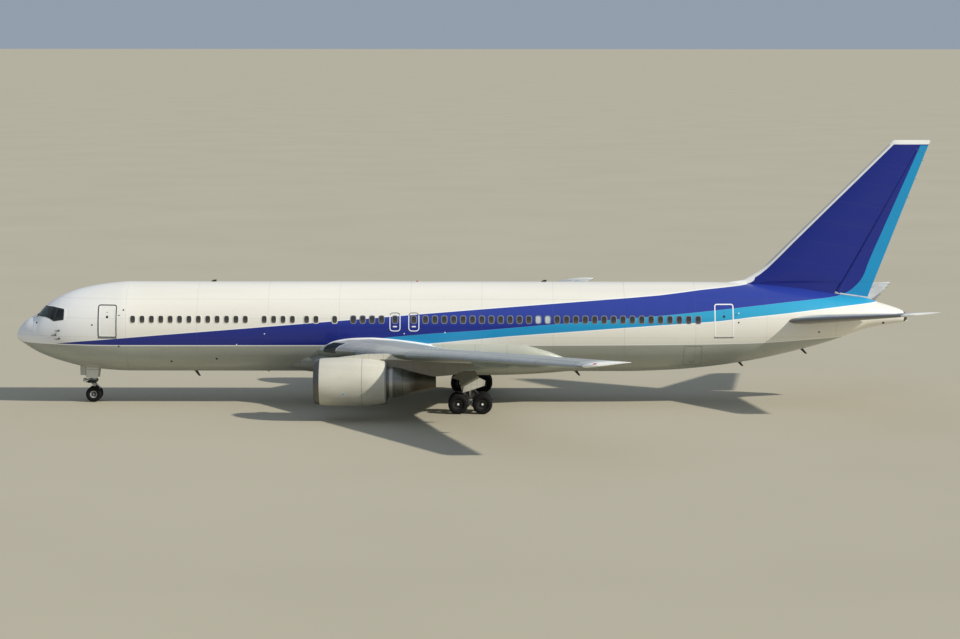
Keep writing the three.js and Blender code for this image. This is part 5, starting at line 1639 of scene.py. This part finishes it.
def windscreen_glass():
    """Green-grey glass, darker aft where the flight deck's lining shows through."""
    finish = Finish("windscreen_glass", roughness=0.08, coat=0.2, coat_roughness=0.03, ior=1.4)
    tint = finish.noise(1.6, 2.0)
    ahead = finish.mix(srgb(24, 38, 37), srgb(66, 88, 84), (tint * 1.8 - 0.5).clip())
    aft = finish.mix(srgb(18, 22, 22), srgb(58, 66, 62), (tint * 2.2 - 0.8).clip())
    return finish.dressed(finish.mix(ahead, aft, ((finish.x - 2.0) * 4).clip()), tint, 0.0005)


# Wing root fillets: station and height of the upper edge on the fuselage side, and the section
# as (out, up) from that edge

ROOT_EDGE = np.array([
    [18.72, 3.52], [19.0, 3.83], [19.5, 4.01], [20.0, 4.1], [20.7, 4.16], [21.5, 4.18], [22.5, 4.12],
    [23.5, 4.01], [24.5, 3.87], [25.5, 3.69], [26.3, 3.57],
])
FILLET_START = 19.0
FILLET = [
    (-0.05, 0.0), (0.01, 0.0), (0.05, -0.035), (0.15, -0.075), (0.3, -0.1), (0.42, -0.16), (-0.05, -0.2),
]


def make_root_fillets():
    """Pale fillet between each wing's upper skin and the fuselage side."""
    station = np.linspace(ROOT_EDGE[0, 0], ROOT_EDGE[-1, 0], 60)[:, None]
    height = through(station, *ROOT_EDGE.T)
    out, drop = np.transpose(FILLET)
    grown = 0.12 + 0.88 * ((station - FILLET_START) / 2).clip(0, 1) ** 2
    out, drop = np.broadcast_arrays(out * grown, drop)
    base = side_points(station, height)
    points = base + np.stack([0 * out, out, drop], -1)
    points[..., 1] = np.where(out < 0, base[..., 1] - 0.05, points[..., 1])
    piece("wing_root_fillets", both_sides(grid(points, around=True, ends=True)),
          seam_finish("root_fillet_paint", srgb(238, 239, 236)), "airframe")


# Small fittings. On the skin of both sides: probes and pale ports as (station, height), and dark
# ports as (station, height, radius)

PROBES = [(2.84, 4.51), (2.63, 4.25), (2.85, 4.04)]
DARK_PORTS = [
    (1.38, 4.91, 0.045), (9.53, 2.65, 0.06), (12.25, 2.83, 0.06), (48.24, 4.45, 0.05), (6.77, 5.79, 0.045),
    (4.89, 4.9, 0.045), (43.37, 5.09, 0.045), (6.47, 3.62, 0.045), (52.22, 4.9, 0.07),
]
PORT_SIZE = 0.035
PALE_PORTS = [(13.5, 3.74), (15.17, 4.4), (23.49, 4.42), (25.91, 4.49), (43.38, 5.63)]

# On the wing: pins as (station, span, height). Wicks stand at spans along an edge, which runs
# between two points of (span, station, height)
WING_PINS = [
    (24.95, 9.0, 4.297), (25.15, 9.0, 4.303), (25.35, 9.0, 4.297), (25.6, 9.0, 4.287),
    (28.1, 11.7, 4.469), (28.25, 11.7, 4.456), (28.45, 11.7, 4.433),
]
WICKS = {
    "aileron_outboard": ([(17.5, 33.2, 4.75), (22.6, 35.37, 5.26)], (18.4, 19.6, 20.8, 22.0)),
    "wing_tip": ([(22.6, 35.37, 5.26), (23.68, 35.82, 5.37)], (22.8, 23.2, 23.55)),
    "elevator": ([(1.9, 51.68, 5.47), (9.0, 54.06, 6.41)], (5.6, 6.7, 7.7, 8.5)),
}
TIP_COLOURS = {"starboard": srgb(20, 150, 60), "port": srgb(205, 26, 22)}

# On the centre line: blades and masts as (station, height of the blade), rudder wicks as
# (station, height above the ground), and the tail's exhaust as (station behind its mouth, radius)
RUDDER_WICKS = [(53.65, 12.4), (54.08, 13.5), (54.48, 14.6)]
BLADES_ON_TOP = [(11.9, 0.11), (31.8, 0.11)]
MASTS_BELOW = [(10.78, 0.34), (33.77, 0.3), (43.63, 0.26)]
TAIL_EXHAUST = [
    (-0.05, 0.0), (-0.05, 0.17), (0.0, 0.178), (0.03, 0.175), (0.034, 0.155), (0.012, 0.145), (0.01, 0.0),
]


def probe(place):
    """Air data probe: a short foot out of the skin, and a tube that points ahead."""
    root, out = side_points(*np.array([place, place]).T, np.array([-0.02, 0.13]))
    path = arc_path(root, out, out + (-0.05, 0.02, 0), out + (-0.26, 0.02, 0.0), count=14)
    radii = np.interp(np.linspace(0, 1, 14), [0, 0.3, 0.9, 1], [0.06, 0.034, 0.018, 0.008])
    return tube(path, radii, 12)


def blade(foot, height, chord, sweep, up=1):
    """Blade antenna or drain mast on the centre line: a thin lens that tapers and sweeps aft."""
    share = np.array([-0.12, 0.0, 0.5, 0.92, 1.0])[:, None]
    angle = ring(16)
    size = chord / 2 * np.interp(share, [0, 0.92, 1], [1, 0.6, 0.35])
    x = foot[0] + share * sweep + size * np.cos(angle)
    y = 0.16 * size * np.sin(angle)
    z = foot[1] + up * share * height
    return grid(np.stack(np.broadcast_arrays(x, y, z + 0 * x), -1), around=True, ends=True)


def dome(centre, radius, height, axis=1):
    """Low lamp dome, upward or, with an axis of -1, downward."""
    turn = np.linspace(math.pi / 2, 0, 8)
    profile = [(-0.03 * axis, 0.0), (-0.03 * axis, radius)]
    profile += [(axis * height * math.sin(a), radius * math.cos(a)) for a in turn[::-1]]
    return turned(profile, centre, "z", 24)


def pod(centre, half):
    """Ellipsoid with its poles ahead and behind."""
    turn = np.linspace(0, math.pi, 13)
    points, quads = turned(np.column_stack([-np.cos(turn), np.sin(turn)]), (0, 0, 0), "x", 24)
    return points * np.asarray(half) + centre, quads


def wick(y, x, z):
    """Static discharger: a thin rod that trails from an edge."""
    return bar((x - 0.04, y, z), (x + 0.14, y, z), 0.009, 0.005, 8, 0.003)


def wiper(side):
    """Blade and arm parked along the lower edge of a front pane, a little off the skin."""
    behind = np.linspace(0.16, 0.72, 12)
    height = np.interp(behind, [0.16, 0.72], [5.33, 5.29])
    blade_path = side_points(front_station(height) + behind ** 2, height, 0.03 + 0 * behind)
    arm_behind = np.linspace(0.45, 0.5, 8)
    arm_height = np.linspace(5.31, 5.2, 8)
    lift = np.array([0.04, 0.045, 0.045, 0.045, 0.04, 0.035, 0.02, -0.01])
    arm_path = side_points(front_station(arm_height) + arm_behind ** 2, arm_height, lift)
    return [on_side(tube(blade_path, 0.014, 8), side), on_side(tube(arm_path, 0.016, 8), side)]


def make_edge_fittings():
    """Discharge wicks on the trailing edges, lamps at the wing tips and the tail, and wipers."""
    dark = seam_finish("wick_paint", srgb(58, 58, 60))
    for side in SIDES:
        for name, (edge, spans) in WICKS.items():
            y, x, z = np.transpose(edge)
            rods = [wick(span, np.interp(span, y, x), np.interp(span, y, z)) for span in spans]
            body = "airframe" if name == "wing_tip" else f"{name}_{side}"
            piece(f"{name}_wicks_{side}", [on_side(rod, side) for rod in rods], dark, body)
        lens = on_side(pod((34.02, 23.63, 5.25), (0.19, 0.09, 0.06)), side)
        glass = lamp_glass(f"tip_lamp_glass_{side}", TIP_COLOURS[side])
        piece(f"tip_lamp_{side}", [lens], glass, "airframe")
    piece("rudder_wicks", [wick(0.0, x, z) for x, z in RUDDER_WICKS], dark, "rudder")
    lens = pod((53.66, 0, 4.96), (0.09, 0.05, 0.045))
    piece("tail_lamp", [lens], lamp_glass("tail_lamp_glass", PURE_WHITE), "airframe")
    pins = [dome((x, y, z), 0.026, 0.035) for x, y, z in WING_PINS]
    piece("wing_pins", both_sides(*pins), seam_finish("pin_paint", PURE_WHITE))
    piece("wipers", [shape for side in SIDES for shape in wiper(side)], dark)
    drain = bar((21.7, ENGINE_Y, 0.87), (22.74, ENGINE_Y, 1.0), 0.03, sides=14)
    piece("cowl_drains", both_sides(drain), seam_finish("drain_paint", srgb(120, 118, 110)))


def make_fittings():
    """Probes, ports, antennas, drain masts, beacons and the tail's exhaust."""
    white, dark = seam_finish("antenna_paint", PURE_WHITE), seam_finish("port_paint", DARK_SPOT)
    piece("air_data_probes", both_sides(*map(probe, PROBES)), dark_metal(), "airframe")
    ports = [badge(x, z, size, size, PORT) for x, z, size in DARK_PORTS]
    piece("dark_ports", both_sides(*ports), dark)
    ports = [badge(x, z, PORT_SIZE, PORT_SIZE, PORT) for x, z in PALE_PORTS]
    piece("pale_ports", both_sides(*ports), white)
    tops = [blade((x, body_section(x)[0]), height, 0.34, 0.12) for x, height in BLADES_ON_TOP]
    piece("crown_antennas", tops, dark, "airframe")
    masts = [blade((x, body_section(x)[1]), height, 0.22, 0.24, -1) for x, height in MASTS_BELOW]
    masts.append(blade((47.3, 3.36), 0.42, 0.24, 0.4, -1))
    piece("belly_masts", masts, dark, "airframe")
    beacons = [dome((24.2, 0, 7.29), 0.07, 0.07), dome((15.2, 0, 1.9), 0.07, 0.08, -1)]
    piece("beacons", beacons, lamp_glass("red_lamp", srgb(190, 30, 22)), "airframe")
    mouth = turned(TAIL_EXHAUST, (53.68, 0, 5.19), "x", 40)
    piece("tail_exhaust", [mouth], dark_metal(), "airframe")


make_wheels()
make_main_gear()
make_nose_gear()
make_windows()
make_doors()
make_flight_deck()
make_root_fillets()
make_fittings()
make_edge_fittings()


# Floor, light and the closing lines

FLOOR_REACH = 16000
SUN_FROM = Vector((0.766, -0.358, 0.537))
SUN_STRENGTH, SUN_SPREAD, SUN_COLOUR = 3.75, math.radians(1.5), (1.0, 0.95, 0.86)
SKY_STRENGTH, SKY_COLOUR = 0.42, (0.7, 0.82, 1.0, 1)


def make_floor():
    """Plain pale apron, far enough to meet the sky at the photograph's horizon."""
    mesh = bpy.data.meshes.new("floor")
    corners = [(x * FLOOR_REACH, y * FLOOR_REACH, 0) for x, y in ((-1, -1), (1, -1), (1, 1), (-1, 1))]
    mesh.from_pydata(corners, [], [(0, 1, 2, 3)])
    floor = bpy.data.objects.new("floor", mesh)
    bpy.context.scene.collection.objects.link(floor)
    finish = Finish("floor_paint", roughness=0.9)
    colour = finish.mix(srgb(190, 183, 162), srgb(180, 173, 152), finish.noise(0.05, 2.0))
    finish.set("Base Color", colour)
    mesh.materials.append(finish.material)


def make_light():
    """A soft low sun from the tail and the camera's side, and a pale even sky."""
    data = bpy.data.lights.new("sun", "SUN")
    data.energy, data.angle, data.color = SUN_STRENGTH, SUN_SPREAD, SUN_COLOUR
    sun = bpy.data.objects.new("sun", data)
    sun.rotation_euler = SUN_FROM.to_track_quat("Z", "Y").to_euler()
    bpy.context.scene.collection.objects.link(sun)
    world = bpy.data.worlds.new("sky")
    world.use_nodes = True
    bpy.context.scene.world = world
    sky = world.node_tree.nodes["Background"].inputs
    sky["Color"].default_value = SKY_COLOUR
    sky["Strength"].default_value = SKY_STRENGTH


make_floor()
make_light()
bpy.context.scene.view_settings.view_transform = "Standard"
